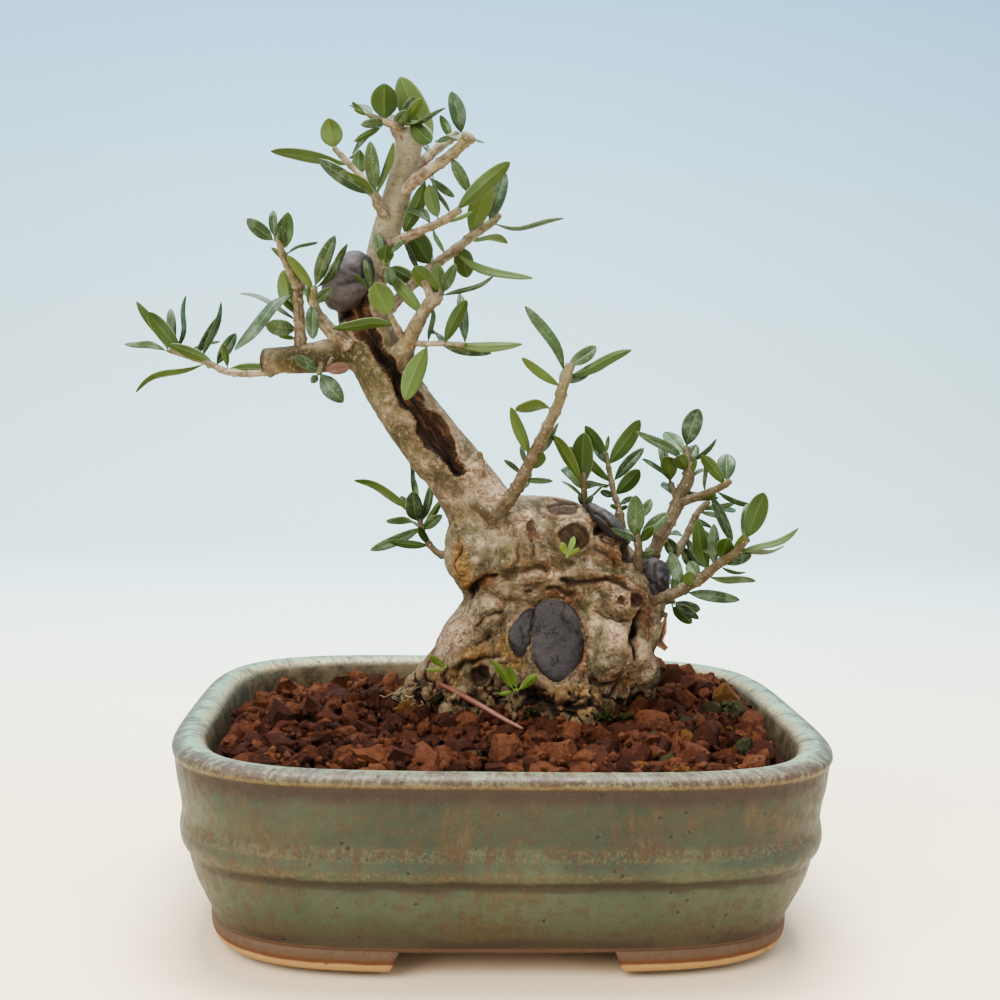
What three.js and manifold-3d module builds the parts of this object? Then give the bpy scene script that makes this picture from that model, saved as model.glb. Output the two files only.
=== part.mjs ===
// A wild olive bonsai: an old stump with one slanting trunk, in a low glazed pot with rounded corners.
// Millimetres, +Z up. The pot is square to X and Y, and the tree stands turned a little in it.
import * as THREE from 'three';
import Module from 'manifold-3d';

const wasm = await Module();
wasm.setup();

// The pot: the rim's outer half width and half depth, the height, and how square its corners are.
const rimHalfWidth = 79;
const rimHalfDepth = 67;
const potHeight = 46;
const squareness = 4.2;
const potSides = 32;
const floorHeight = 5;
const floorThickness = 4;

// Its four feet: a ring below the wall, cut by two sloping channels, and the two drain holes.
const footBottomHalfWidth = 66.4;
const footTopHalfWidth = 68.4;
const footWidth = 11;
const channelHalfWidth = 26.5;
const channelHalfDepth = 22;
const channelSlope = 2.5;
const pastPot = 100;
const drainRadius = 7;
const drainPlace = 34;
const drainSides = 16;

// The plastic meshes over the drain holes: half side, thickness, and their square holes.
const meshHalfSide = 10;
const meshThickness = 0.9;
const meshHoleHalfSide = 1.9;
const meshHolePlace = 3.8;

// The soil: clear of the pot by the seam, with its level at the rim and its rise round the stump.
const seam = 0.3;
const soilFloor = 10.8;
const soilFloorHalfWidth = 61.5;
const soilShoulder = 13.5;
const soilLevel = 41.5;
const soilRise = 10;
const soilHeapX = 9;
const soilHeapY = 14;
const soilHeapWidth = 52;
const soilHeapFront = 24;
const soilHeapBack = 40;
const soilShares = [0.935, 0.855, 0.775, 0.695, 0.615, 0.53, 0.44, 0.33, 0.18];
const granuleRelief = 0.9;

// A place on the tree is written as it looks from the front: x and z on the plane y = 0, and a depth y
// to which the point is slid along the line of sight from a viewer who stands at this place.
const viewerX = -0.75;
const viewerDistance = 339.7;
const viewerHeight = 127;
const treeTurn = -0.055;

// Leaves: thickness, how much they arch, the least width of a blade for its length, how long a stalk
// shows below the blade, and for blades up to each width the rows across: place along, part of width.
const leafThickness = 0.7;
const leafArch = 0.06;
const slimShare = 0.2;
const longStalk = 2.5;
const bladeRows = [
  [2.7, [[0.45, 1]]],
  [4.2, [[0.3, 0.9], [0.68, 0.88]]],
  [Infinity, [[0.2, 0.74], [0.52, 1], [0.84, 0.62]]],
];
const depthTries = [0, 1.5, -1.5, 3, -3, 4.5, -4.5, 6, -6, 8, -8];
const leafRoom = 0.4;
const touchAllowed = 0.3;
const seed = 4711;

// Leaves that the rule adds behind a stem: length, width for its length, and stalk.
const rearLength = [9, 15];
const rearSlimness = [0.26, 0.4];
const rearStalk = 1.6;

const upward = new THREE.Vector3(0, 0, 1);

function seededDraws(start) {
  let state = start;
  return () => {
    state = (state * 16807) % 2147483647;
    return state / 2147483647;
  };
}

function turned(x, y, z) {
  return new THREE.Vector3(x, y, z).applyAxisAngle(upward, treeTurn);
}

const viewer = turned(viewerX, -viewerDistance, viewerHeight);

function at(x, z, y = 0) {
  const reach = (viewerDistance + y) / viewerDistance;
  return turned(viewerX + (x - viewerX) * reach, y, viewerHeight + (z - viewerHeight) * reach);
}

// A solid from points and triangles, with its faces turned outwards.
function solidOf(points, faces) {
  let volume = 0;
  for (const [a, b, c] of faces) {
    volume += points[a].dot(new THREE.Vector3().crossVectors(points[b], points[c]));
  }
  const outward = volume > 0 ? faces : faces.map(([a, b, c]) => [a, c, b]);
  const vertProperties = new Float32Array(points.flatMap((point) => [point.x, point.y, point.z]));
  const triVerts = new Uint32Array(outward.flat());
  return new wasm.Manifold(new wasm.Mesh({ numProp: 3, vertProperties, triVerts }));
}

function joined(solids) {
  return solids.reduce((whole, solid) => whole.add(solid));
}

// A closed skin through rings of points: each end gets a fan round its middle, or the last ring
// meets the first.
function loft(rings, endless = false) {
  const count = rings[0].length;
  const points = rings.flat();
  const faces = [];
  const bands = endless ? rings.length : rings.length - 1;
  for (let i = 0; i < bands; i += 1) {
    const low = i * count;
    const high = ((i + 1) % rings.length) * count;
    for (let j = 0; j < count; j += 1) {
      const k = (j + 1) % count;
      faces.push([low + j, low + k, high + k], [low + j, high + k, high + j]);
    }
  }
  if (!endless) {
    for (const [ring, offset, back] of [[rings[0], 0, true], [rings.at(-1), points.length - count, false]]) {
      const middle = ring.reduce((sum, point) => sum.add(point), new THREE.Vector3()).divideScalar(count);
      const hub = points.push(middle) - 1;
      for (let j = 0; j < count; j += 1) {
        const k = (j + 1) % count;
        faces.push(back ? [hub, offset + k, offset + j] : [hub, offset + j, offset + k]);
      }
    }
  }
  return solidOf(points, faces);
}

// The pot

// One level of the pot: the rounded rectangle |x/a|^n + |y/b|^n = 1 at one height, with its points
// closest together at the corners.
function potRing(halfWidth, z, rise = () => 0) {
  const halfDepth = halfWidth - (rimHalfWidth - rimHalfDepth);
  const squared = (value) => Math.sign(value) * Math.abs(value) ** (2 / squareness);
  return Array.from({ length: potSides }, (_, i) => {
    const angle = (i / potSides) * 2 * Math.PI;
    const x = halfWidth * squared(Math.cos(angle));
    const y = halfDepth * squared(Math.sin(angle));
    return new THREE.Vector3(x, y, z + rise(x, y));
  });
}

// Half width at each height, up the outside, over the rim and down the inside.
const outerProfile = [
  [68.6, 5], [70.6, 7], [75.2, 21.4], [77.2, 24.6], [77.2, 29.4], [76.6, 31.4], [76.9, 40],
  [78.7, 41.6], [rimHalfWidth, 44.6], [77.6, potHeight],
];
const innerProfile = [[73, potHeight], [71.2, 44.6], [66.4, 12.5], [63.5, 9]];

// A channel right across under the pot, narrower at its top.
function channel(half, alongX) {
  const ringAt = (z, side) => [[-1, -1], [1, -1], [1, 1], [-1, 1]].map(([i, j]) => (
    alongX ? new THREE.Vector3(i * pastPot, j * side, z) : new THREE.Vector3(i * side, j * pastPot, z)
  ));
  return loft([ringAt(-1, half), ringAt(floorHeight, half - channelSlope)]);
}

function drainHole(x) {
  const ringAt = (z) => Array.from({ length: drainSides }, (_, i) => {
    const angle = (i / drainSides) * 2 * Math.PI;
    return new THREE.Vector3(x + drainRadius * Math.cos(angle), drainRadius * Math.sin(angle), z);
  });
  return loft([ringAt(0), ringAt(floorHeight + 2 * floorThickness)]);
}

function makePot() {
  const rings = [...outerProfile, ...innerProfile].map(([halfWidth, z]) => potRing(halfWidth, z));
  const footTop = floorHeight + 1;
  const footRings = [
    [footBottomHalfWidth, 0],
    [footTopHalfWidth, footTop],
    [footTopHalfWidth - footWidth, footTop],
    [footBottomHalfWidth - footWidth, 0],
  ];
  const feet = loft(footRings.map(([halfWidth, z]) => potRing(halfWidth, z)), true)
    .subtract(channel(channelHalfWidth, false))
    .subtract(channel(channelHalfDepth, true));
  return loft(rings).add(feet).subtract(drainHole(-drainPlace)).subtract(drainHole(drainPlace));
}

function plate(x, y, halfSide, z0, z1) {
  const ringAt = (z) => [[-1, -1], [1, -1], [1, 1], [-1, 1]]
    .map(([i, j]) => new THREE.Vector3(x + i * halfSide, y + j * halfSide, z));
  return loft([ringAt(z0), ringAt(z1)]);
}

// A square plastic mesh over a drain hole, a seam above the pot's floor.
function makeDrainMesh(x) {
  const z0 = floorHeight + floorThickness + seam;
  const z1 = z0 + meshThickness;
  let mesh = plate(x, 0, meshHalfSide, z0, z1);
  for (const i of [-1, 1]) {
    for (const j of [-1, 1]) {
      const hole = plate(x + i * meshHolePlace, j * meshHolePlace, meshHoleHalfSide, z0 - 1, z1 + 1);
      mesh = mesh.subtract(hole);
    }
  }
  return mesh;
}

// The tree

// A tube of changing radius along stations [x, z, radius, y], grown by a margin where it must cut.
function limb(stations, sides, grow = 0) {
  const path = stations.map(([x, z, , y]) => at(x, z, y));
  const tangents = path.map((_, i) => {
    const before = path[Math.max(i - 1, 0)];
    const after = path[Math.min(i + 1, path.length - 1)];
    return new THREE.Vector3().subVectors(after, before).normalize();
  });
  path[0].addScaledVector(tangents[0], -grow);
  path.at(-1).addScaledVector(tangents.at(-1), grow);
  const sideways = Math.abs(tangents[0].x) > 0.8 ? new THREE.Vector3(0, 1, 0) : new THREE.Vector3(1, 0, 0);
  const rings = path.map((point, i) => {
    const tangent = tangents[i];
    sideways.addScaledVector(tangent, -sideways.dot(tangent)).normalize();
    const other = new THREE.Vector3().crossVectors(tangent, sideways);
    const radius = stations[i][2] + grow;
    return Array.from({ length: sides }, (_, j) => {
      const angle = (j / sides) * 2 * Math.PI;
      return point.clone()
        .addScaledVector(sideways, radius * Math.cos(angle))
        .addScaledVector(other, radius * Math.sin(angle));
    });
  });
  return loft(rings);
}

// The stump's levels: height, left and right edge, and half depth. It has a wide foot, a waist that
// folds in at the left, and an upper lobe that bulges over the waist and slopes down to the right.
const stumpDepth = 5;
const stumpLevels = [
  [34, -24, 42, 20], [44, -24.5, 43, 21], [50, -22.5, 42, 20], [56, -20.3, 41.3, 18.5],
  [60, -18.3, 41, 18], [65, -16, 38.5, 17.5], [70, -13, 41.5, 16.8], [73.5, -10.3, 42.6, 15.5],
  [76, -9.6, 42.8, 15], [79, -12, 42.4, 16], [82.5, -14.3, 40.3, 17], [86, -15, 36.3, 17],
  [90, -14.5, 32.5, 16], [94, -13.5, 29.5, 14], [97.5, -12.5, 25, 11.5], [100, -9, 19.5, 8.5],
  [101.8, -3, 13, 5],
];
const stumpSides = 16;
const flutes = 7;
const fluteDepth = 0.05;
const fluteTwist = 0.09;

function stump(grow) {
  const rings = stumpLevels.map(([z, left, right, halfDepth], level) => {
    const a = (right - left) / 2 + grow;
    const b = halfDepth + grow;
    const lift = level === stumpLevels.length - 1 ? grow : 0;
    return Array.from({ length: stumpSides }, (_, i) => {
      const angle = (i / stumpSides) * 2 * Math.PI;
      const wave = Math.sin(angle) ** 2 * Math.sin(flutes * angle + fluteTwist * z);
      const slid = at((left + right) / 2 + a * Math.cos(angle), z, stumpDepth);
      return slid.add(turned(0, b * (1 + fluteDepth * wave) * Math.sin(angle), lift));
    });
  });
  return loft(rings);
}

// Woody limbs as stations [x, z, radius, y]: the slanting trunk, the upper trunk, the sawn stub on
// the left, the forked stub at the front, short nubs, and the roots that run into the soil.
const slantingTrunk = [
  [2, 90, 9, 5], [-5, 97.5, 8.8, 4.5], [-12, 107, 8.2, 4], [-18.3, 114.5, 7.9, 3], [-24.3, 122.5, 7.7, 2.5],
  [-29.8, 130.5, 7.6, 2], [-33.5, 138, 7.4, 1.5], [-36, 145, 6.8, 1], [-37.5, 151.5, 6, 1],
];
const upperTrunk = [
  [-37, 143, 4.2, 3], [-35, 150, 3.7, 2], [-33.8, 157, 3.3, 2], [-32.7, 163, 3.4, 2], [-30.6, 170, 3.85, 2],
  [-28.2, 179, 3.7, 2], [-26.7, 185, 3.4, 2], [-25.9, 190, 3.6, 2], [-25.4, 194, 3.1, 2],
];
const sawnStub = [
  [-36, 140, 5, 1], [-42, 137.5, 4.6, 1], [-48, 136.2, 4.1, 0], [-56, 135.2, 3.6, -1],
  [-62.3, 134.9, 3.3, -1.5],
];
const forkedStub = [
  [-29, 133, 3.4, -3], [-26.5, 137, 3, -5], [-24.8, 141.5, 2.2, -7], [-22.3, 146.5, 1.9, -9],
  [-19.7, 150.7, 1.9, -10], [-17.6, 152.3, 2.3, -10],
];
const forkedStubTip = [[-20, 150.7, 1.2, -10], [-21.5, 154, 0.9, -10], [-24, 156.8, 0.8, -9.5]];
const nubs = [
  [[-5.8, 107, 1.3, -1], [-5.7, 110, 1.1, -3], [-6.3, 113, 0.9, -4]],
  [[-2.5, 94.5, 1.3, -4], [-4.5, 97, 0.9, -8], [-7.6, 99.6, 0.7, -9]],
  [[-28.5, 167, 1.6, 1], [-27, 166.3, 1.2, 0]],
  [[-60, 133, 1.2, -2], [-60.3, 130.8, 0.9, -3]],
];
const roots = [
  [[-9, 60, 8, 4], [-17, 53, 6, 3], [-25, 45, 4.5, 1], [-32, 39, 3, -2]],
  [[-3, 55, 7, -2], [-8, 48, 6, -7], [-13, 39, 4, -12]],
  [[15, 52, 8, -3], [17, 46, 7.5, -7], [20, 37, 6, -11]],
  [[34, 58, 6.5, 3], [39.5, 51, 5.5, 2], [46, 41, 4, 0]],
  [[-5, 58, 8, 13], [-9, 48, 6, 19], [-13, 39, 4, 24]],
  [[16, 58, 9, 13], [19, 48, 7, 19], [22, 39, 5, 25]],
  [[32, 56, 6, 13], [37, 47, 5, 19], [42, 39, 3.5, 24]],
];
// The long hollow of dead wood down the front of the slanting trunk.
const hollow = [
  [-40.5, 149, 3.4, -6], [-34.5, 142, 3.3, -6.2], [-30, 135, 2.6, -5.8], [-25.7, 128.5, 2.6, -5.2],
  [-20, 120.5, 3.3, -4.6], [-15, 113.5, 3.1, -4], [-11.6, 107.6, 1.8, -3.6],
];

function makeTrunk(grow) {
  const slanting = limb(slantingTrunk, 9, grow);
  const carved = grow > 0 ? slanting : slanting.subtract(limb(hollow, 6));
  return joined([
    stump(grow),
    carved,
    limb(upperTrunk, 8, grow),
    limb(sawnStub, 8, grow),
    limb(forkedStub, 7, grow),
    limb(forkedStubTip, 5, grow),
    ...nubs.map((nub) => limb(nub, 5, grow)),
    ...roots.map((root) => limb(root, 6, grow)),
  ]);
}

// Domed patches of wound paste: centre [x, z, y], half width, half height, half thickness and lean.
const pastes = {
  paste_wound_large: [14.6, 64.6, -12.8, 6.7, 11.2, 3.4, 0],
  paste_wound_small: [4.4, 64.4, -12, 3, 5.6, 2.6, 0],
  paste_shoulder: [27.2, 95.6, -4.6, 7.2, 2.6, 6, -0.72],
  paste_knuckle: [40.4, 81.6, 0, 3.4, 5, 5.5, 0.15],
  paste_ball: [-41.2, 155.4, -0.5, 6.1, 7.8, 6.6, -0.25],
};

const pasteRings = 6;
const pasteSides = 10;

function makePaste([x, z, y, halfWidth, halfHeight, halfThickness, lean]) {
  const rings = [];
  const centre = at(x, z, y);
  for (let i = 1; i < pasteRings; i += 1) {
    const polar = (i / pasteRings) * Math.PI;
    rings.push(Array.from({ length: pasteSides }, (_, j) => {
      const angle = (j / pasteSides) * 2 * Math.PI;
      const flat = new THREE.Vector3(
        halfWidth * Math.sin(polar) * Math.cos(angle),
        halfThickness * Math.sin(polar) * Math.sin(angle),
        halfHeight * Math.cos(polar),
      );
      flat.applyAxisAngle(new THREE.Vector3(0, 1, 0), -lean).applyAxisAngle(upward, treeTurn);
      return centre.clone().add(flat);
    }));
  }
  return loft(rings);
}

// Leafy shoots. A stem is stations [x, z, radius, y], and further stems fork off the first. A leaf is
// [base x, base z, tip x, tip z, width seen, depth from base to tip, side seen], with 1 for the dark
// upper side and -1 for the pale lower side. rear is how many leaves the rule adds behind the stem.
const shoots = {
  shoot_crown: {
    stems: [[[-26.5, 190, 2, 1], [-28.5, 193, 1.9, 0], [-29.6, 195, 1.6, -1], [-32.5, 195.8, 1, -1],
      [-36.2, 197.4, 0.8, -1]]],
    leaves: [
      [-32, 196.4, -32.2, 205.1, 7, -3, -1], [-26, 196.5, -28.4, 207, 7, 3, -1],
      [-25.4, 196, -20.2, 190.8, 4.6, 2, -1], [-27, 195.8, -22.8, 201.6, 2.6, -2, -1],
      [-27.4, 197, -24.6, 202, 2.2, 3, 1], [-29.2, 194.6, -26.4, 198.6, 3, -3, 1],
      [-31.6, 195.5, -38, 194.8, 2.4, -2, 1], [-27, 195.4, -16.8, 199.4, 0.9, -1, 1],
      [-37, 197.6, -40.3, 200.4, 1.3, -1, -1], [-36.6, 197.2, -39.8, 198.6, 1, -2, -1],
      [-33, 194.2, -39.6, 190.6, 1.8, -1, -1], [-33.4, 194.6, -40, 187.5, 1.6, 2, 1],
    ],
    rear: 3,
  },
  shoot_crown_left: {
    stems: [[[-30.8, 171.5, 1.6, 0], [-33, 174.5, 1.4, -3], [-34.4, 177.8, 1.1, -4]]],
    leaves: [
      [-34.9, 177.6, -48.6, 186, 3.8, -1, 1], [-34.6, 177.8, -42.5, 183.2, 1.5, -4, -1],
      [-34.2, 178.6, -35.6, 190.7, 3.8, -2, 1], [-33.7, 177.8, -29.7, 190.6, 2, -3, -1],
    ],
    rear: 1,
  },
  shoot_high_left: {
    stems: [[[-31, 173, 1.2, 4], [-36, 180, 1, 9], [-41, 185.2, 0.9, 13], [-44.6, 188.8, 0.8, 16]]],
    leaves: [
      [-44.6, 189, -46.2, 196.2, 6, 0, -1], [-41.5, 184.8, -60.6, 187.7, 3.2, 2, -1],
      [-38.4, 182, -38.2, 188.6, 3.8, 2, -1], [-41, 186.3, -37.6, 188, 1, 3, 1],
    ],
    rear: 1,
  },
  twig_crown_front: {
    stems: [[[-27, 178.5, 1.7, 0], [-24, 181.3, 1.6, -3], [-20, 184.2, 1.5, -7], [-14.5, 188.3, 1.4, -12],
      [-11.6, 191.2, 1.4, -15], [-11, 191.9, 2.1, -15.5], [-10.5, 192.6, 1.9, -16]]],
    leaves: [
      [-15, 187, -10.2, 178.6, 3, 0, 1], [-20.5, 182, -14, 177.3, 2, 2, 1],
      [-21.5, 181, -26.6, 168.4, 4, 3, -1], [-19.5, 182.5, -15, 173.3, 1.2, 4, 1],
    ],
    rear: 1,
  },
  twig_crown_rear: {
    stems: [[[-25.5, 183, 1.6, 4], [-22, 186.3, 1.5, 8], [-18, 189.8, 1.4, 13], [-13.8, 193, 1.2, 18]]],
    leaves: [[-12.6, 193.4, -15.3, 203.5, 4.4, 1, 1], [-15.3, 192.2, -18, 197.6, 2.5, 2, -1]],
    rear: 2,
  },
  twig_right_upper: {
    stems: [[[-30, 165, 1.5, -1], [-26, 167, 1.3, -5], [-22.5, 168.6, 1.2, -8], [-17.8, 170.8, 1.1, -12],
      [-12.6, 174.2, 1, -16]]],
    leaves: [
      [-18.2, 172.2, -20.6, 180.3, 3.6, 2, -1], [-13.3, 174.3, -0.2, 186.4, 4.2, -2, -1],
      [-16.5, 170.9, -9.4, 173.9, 1.2, 2, -1], [-19.2, 169.4, -16.3, 163.3, 1.2, -2, 1],
      [-26, 166.8, -29.8, 163, 1.4, -3, 1],
    ],
    rear: 1,
  },
  twig_right_middle: {
    stems: [[[-33, 146, 1.8, 5], [-29, 150, 1.6, 7], [-24.5, 155, 1.5, 9], [-19.5, 159.6, 1.5, 11],
      [-14, 163.8, 1.4, 13], [-9, 168, 1.3, 15], [-4.2, 171.4, 1.2, 17], [-2.4, 173.2, 0.9, 17]]],
    leaves: [
      [-9.8, 168.3, -5.2, 181.2, 6, -4, -1], [-5, 171, -1.4, 184, 4, 3, 1],
      [-3.6, 170.9, 13.8, 172.6, 1.4, 1, 1], [-13.2, 163.2, 6.3, 157.4, 2.4, -4, -1],
      [-12, 164.8, -10.4, 157.2, 5.4, 4, -1], [-20, 160.5, -25.6, 169, 6.8, -3, -1],
      [-22.6, 158.4, -26, 165.4, 1.6, -2, 1], [-23.8, 156.3, -29.7, 159.4, 4, 2, -1],
    ],
    rear: 3,
  },
  shoot_collar: {
    stems: [[[-32, 157, 1, 0], [-31.3, 159.8, 0.7, -4]]],
    leaves: [
      [-31.3, 160.3, -31, 165, 4.4, -2, -1], [-32, 161.5, -33.6, 167.9, 3, 2, 1],
      [-31.2, 158.6, -21.8, 148.1, 3.4, -5, -1], [-30.6, 159.8, -29.3, 154.7, 3, -1, 1],
    ],
    rear: 0,
  },
  shoot_collar_left: {
    stems: [[[-33.8, 151.5, 0.9, 0], [-35, 153.8, 0.7, -4.5]]],
    leaves: [[-35, 154.4, -36.6, 161.2, 2, -1, 1], [-35.3, 153.4, -39.2, 157.4, 1.2, -4, -1]],
    rear: 0,
  },
  shoot_hollow_front: {
    stems: [[[-25.4, 140, 1.1, -6], [-28, 144, 0.9, -9.5], [-29.7, 147.3, 0.8, -11]]],
    leaves: [[-29.8, 147.4, -34, 155.3, 6.2, -1, -1], [-28.6, 144.9, -44.6, 143.6, 2.8, -2, -1]],
    rear: 0,
  },
  shoot_fork_right: {
    stems: [[[-24.8, 140.5, 0.9, -6], [-21, 140.2, 0.8, -9], [-16, 140.4, 0.7, -12],
      [-10.5, 140.2, 0.6, -14]]],
    leaves: [
      [-13, 140.3, 4, 140.7, 2.5, -4, -1], [-16, 139.6, -3.8, 138.2, 2.4, 4, 1],
      [-15.8, 140.6, -10.4, 151.5, 3.4, -4, -1], [-10.6, 140.8, -12.2, 153.2, 2.8, 3, 1],
      [-20, 140.8, -19.2, 149.6, 1.4, 3, 1], [-20.3, 139.4, -25.6, 125.8, 5.2, -5, -1],
    ],
    rear: 1,
  },
  shoot_fork_top: {
    stems: [[[-18, 151.5, 1.3, -10], [-16.8, 153.8, 0.8, -9]]],
    leaves: [
      [-17, 153.4, -18.1, 160.6, 3.6, 2, -1], [-17.6, 153.4, -24, 159.5, 4.6, -3, -1],
      [-16.5, 153.4, -13.4, 160.6, 3, 4, 1], [-16.4, 152.6, -3.4, 158.1, 1.4, 2, 1],
    ],
    rear: 1,
  },
  twig_left_upright: {
    stems: [[[-52.8, 135.5, 1.9, -1], [-52.7, 140, 1.7, -1], [-53, 146, 1.6, -1.5], [-53.4, 151, 1.5, -2],
      [-53.3, 154, 1.7, -3], [-55.5, 158, 1.2, -6], [-57.6, 162.5, 1, -9], [-58.6, 166.6, 0.9, -12]],
    [[-53.3, 153, 1, -2], [-52.4, 156.4, 0.8, -3]]],
    leaves: [
      [-60, 165.6, -66.6, 170.7, 3.6, -1, 1], [-59.6, 166.6, -59.9, 173, 2.2, 2, 1],
      [-59.4, 165.2, -56.6, 171.8, 2.8, -3, -1], [-56.4, 164, -56.2, 172.6, 3.8, 1, -1],
      [-56.8, 164.2, -58, 168.8, 2.6, 4, 1], [-57, 160.6, -60.3, 163.7, 1.4, 2, -1],
      [-54.6, 147.4, -57.2, 158, 5.2, 3, -1], [-53.6, 147, -57.2, 151, 1.5, -3, -1],
      [-54, 145.6, -68, 151.9, 1.3, 2, 1], [-54.6, 152, -69.4, 137.6, 3, -5, 1],
      [-54, 143.2, -61.6, 144, 4.3, -2, 1], [-54, 140.8, -58.2, 141.2, 1.3, 0, -1],
    ],
    rear: 2,
  },
  shoot_left_front: {
    stems: [[[-40, 139.5, 2.4, -3], [-45, 143, 1.9, -5], [-48.4, 147.3, 1.6, -6.5], [-49.4, 151, 1.3, -7.5],
      [-49.3, 153.8, 1, -8]]],
    leaves: [
      [-49, 154.4, -44.2, 167, 3.6, -2, 1], [-48.6, 154, -41, 165, 2, 3, 1],
      [-49, 150, -44.6, 154, 2.8, -4, 1], [-49.6, 149.6, -49.5, 140.8, 3.5, -4, 1],
      [-50, 148.5, -50.8, 154.2, 1.5, -4, -1], [-49.4, 153, -56.2, 161.8, 2.6, -3, -1],
    ],
    rear: 1,
  },
  shoot_left_long: {
    stems: [[[-57, 133.3, 1.2, 1.6], [-64, 131.7, 1, 4], [-71, 131.9, 1, 7], [-76, 134, 0.9, 10],
      [-82, 135.8, 0.8, 13], [-86.3, 137, 0.6, 15]]],
    leaves: [
      [-83.5, 136.6, -91.6, 146.7, 4.4, -2, -1], [-86.5, 137.3, -94.6, 149.3, 2.8, 1, -1],
      [-87, 137, -97.6, 138.4, 2.1, 2, 1], [-84.6, 137.2, -82, 151, 1.7, 3, 1],
      [-85.3, 137.6, -85.9, 147.7, 2.6, 5, 1], [-75.4, 134.6, -86, 138.6, 3, -3, -1],
      [-77.8, 133.6, -94.7, 126.3, 1.8, -2, -1], [-78, 135.4, -73, 149.7, 1.8, 2, 1],
      [-79.5, 135.8, -73, 146.6, 2.6, 4, 1], [-74, 133.8, -69.2, 141.8, 3.2, 2, 1],
      [-71.3, 133.2, -72.6, 139, 1.8, -2, -1], [-70.6, 132.8, -60, 133.2, 3.6, 5, -1],
    ],
    rear: 2,
  },
  shoot_under_stub: {
    stems: [[[-47, 134.5, 1, -3], [-47.8, 132.2, 0.8, -6]]],
    leaves: [
      [-48, 132.5, -54.2, 136.2, 2.8, -1, 1], [-47.4, 131.8, -41.6, 124.8, 4.8, -3, 1],
      [-48.2, 131.6, -49.8, 129.6, 2, -1, 1],
    ],
    rear: 1,
  },
  leaf_faded: {
    stems: [[[-44.4, 136, 0.7, -3], [-45.4, 134.2, 0.6, -6.5]]],
    leaves: [[-46, 133, -40, 133.8, 3, -1, 1]],
    rear: 0,
  },
  twig_middle: {
    stems: [[[-3, 93.5, 2.4, -3], [0, 98.5, 2, -6.5], [3.6, 104, 1.8, -10], [7.8, 112.8, 1.6, -14],
      [11, 119.6, 1.5, -17], [13.8, 126, 1.4, -20], [14.6, 129.6, 1.5, -21], [16.6, 135.8, 1.3, -22]]],
    leaves: [
      [14.9, 134.2, 4.5, 150.3, 2.9, -3, 1], [13.9, 130.2, 4, 137.2, 2.4, -3, -1],
      [16, 135.6, 23, 140.5, 3.6, 4, 1], [16.6, 133, 32, 139.8, 2.8, -3, -1],
      [15.8, 131, 21.5, 134.4, 2.4, 4, 1], [14.2, 129.8, 14.6, 134.4, 1.2, 3, 1],
      [6.6, 112.6, 1.5, 124.5, 3, -3, -1], [5.6, 110, 4.3, 114.8, 1.4, 3, 1],
      [8.6, 112.4, 13.8, 120.8, 1.4, 3, 1], [6.6, 109, 10.2, 113, 3.6, -4, -1],
      [4.4, 107.6, 0, 111, 1.4, -2, 1], [4.8, 105.9, 12.8, 105.8, 1.6, -2, 1],
      [3.6, 102.6, 7, 105.6, 1, 4, -1],
    ],
    rear: 1,
  },
  shoot_waist_left: {
    stems: [[[-11, 88, 1.3, 7], [-15, 86, 1.1, 8], [-18.2, 88, 0.9, 9], [-20.4, 91.5, 0.9, 11],
      [-21.5, 95.5, 0.8, 13], [-23.2, 101.5, 0.6, 15]]],
    leaves: [
      [-22.6, 97.4, -38.4, 104.8, 2.4, -1, -1], [-22, 94.8, -23.4, 102.2, 4.8, -4, 1],
      [-22.4, 96, -26.4, 101, 2.6, 4, 1], [-23.3, 102, -24.1, 110, 1.3, 2, 1],
      [-22, 99.6, -22.8, 105.6, 1.8, 4, -1], [-20.6, 94.8, -18.6, 104.5, 2.4, -1, 1],
      [-20, 94, -15.8, 100.5, 2, 5, -1], [-20.4, 92.6, -15.6, 96.4, 3, -3, 1],
      [-20.8, 93, -34, 86.8, 3, -2, 1], [-19, 88.4, -29.2, 89.2, 2.3, 0, -1],
      [-18.9, 88.6, -21.6, 93.2, 2, -4, -1],
    ],
    rear: 1,
  },
  shoot_shoulder_left: {
    stems: [[[21.3, 95, 1.1, 4], [21.3, 99, 0.9, 1], [20.8, 104.5, 0.8, -2], [20.6, 108, 0.6, -4]]],
    leaves: [
      [20.6, 105, 20.4, 118.4, 5.8, -2, 1], [20, 106.2, 12.5, 117.6, 2.6, -3, 1],
      [20.8, 103.8, 17.2, 109.4, 3, 3, 1], [21, 99.6, 19.4, 102.4, 1.6, -2, 1],
      [21.4, 99.6, 23.2, 102.4, 1.8, -3, 1], [20.8, 101.6, 15, 105.8, 0.9, -1, 1],
      [21.4, 101.6, 26, 105, 0.8, 2, 1],
    ],
    rear: 1,
  },
  shoot_shoulder_right: {
    stems: [[[31.6, 88, 1.7, 7], [30.4, 95.5, 1.5, 8], [29.8, 99.5, 1, 10], [28.6, 103, 0.9, 12],
      [27.1, 109, 0.8, 15], [26.3, 113.4, 0.6, 17]]],
    leaves: [
      [26.4, 112.4, 20.7, 120.2, 3.4, -2, 1], [27.2, 110.6, 34.7, 122, 4.6, -3, 1],
      [26.4, 110.6, 22.4, 116, 2.6, 3, 1], [27.8, 105.8, 15.6, 114.6, 2.8, -5, -1],
      [28.6, 106.4, 35.9, 114.8, 3.2, 4, 1], [29.2, 102.8, 35, 109.2, 4.2, -3, -1],
      [26.4, 113.6, 26.8, 117.8, 1.2, 1, -1], [28.4, 102.2, 25, 103.4, 2, 1, 1],
      [30, 100, 33.6, 102.2, 1.6, 2, 1], [29.8, 98.8, 27.7, 100, 1.3, -2, -1],
      [30, 98.6, 32.2, 99.8, 1.3, -3, -1],
    ],
    rear: 1,
  },
  shoot_shoulder_front: {
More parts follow.
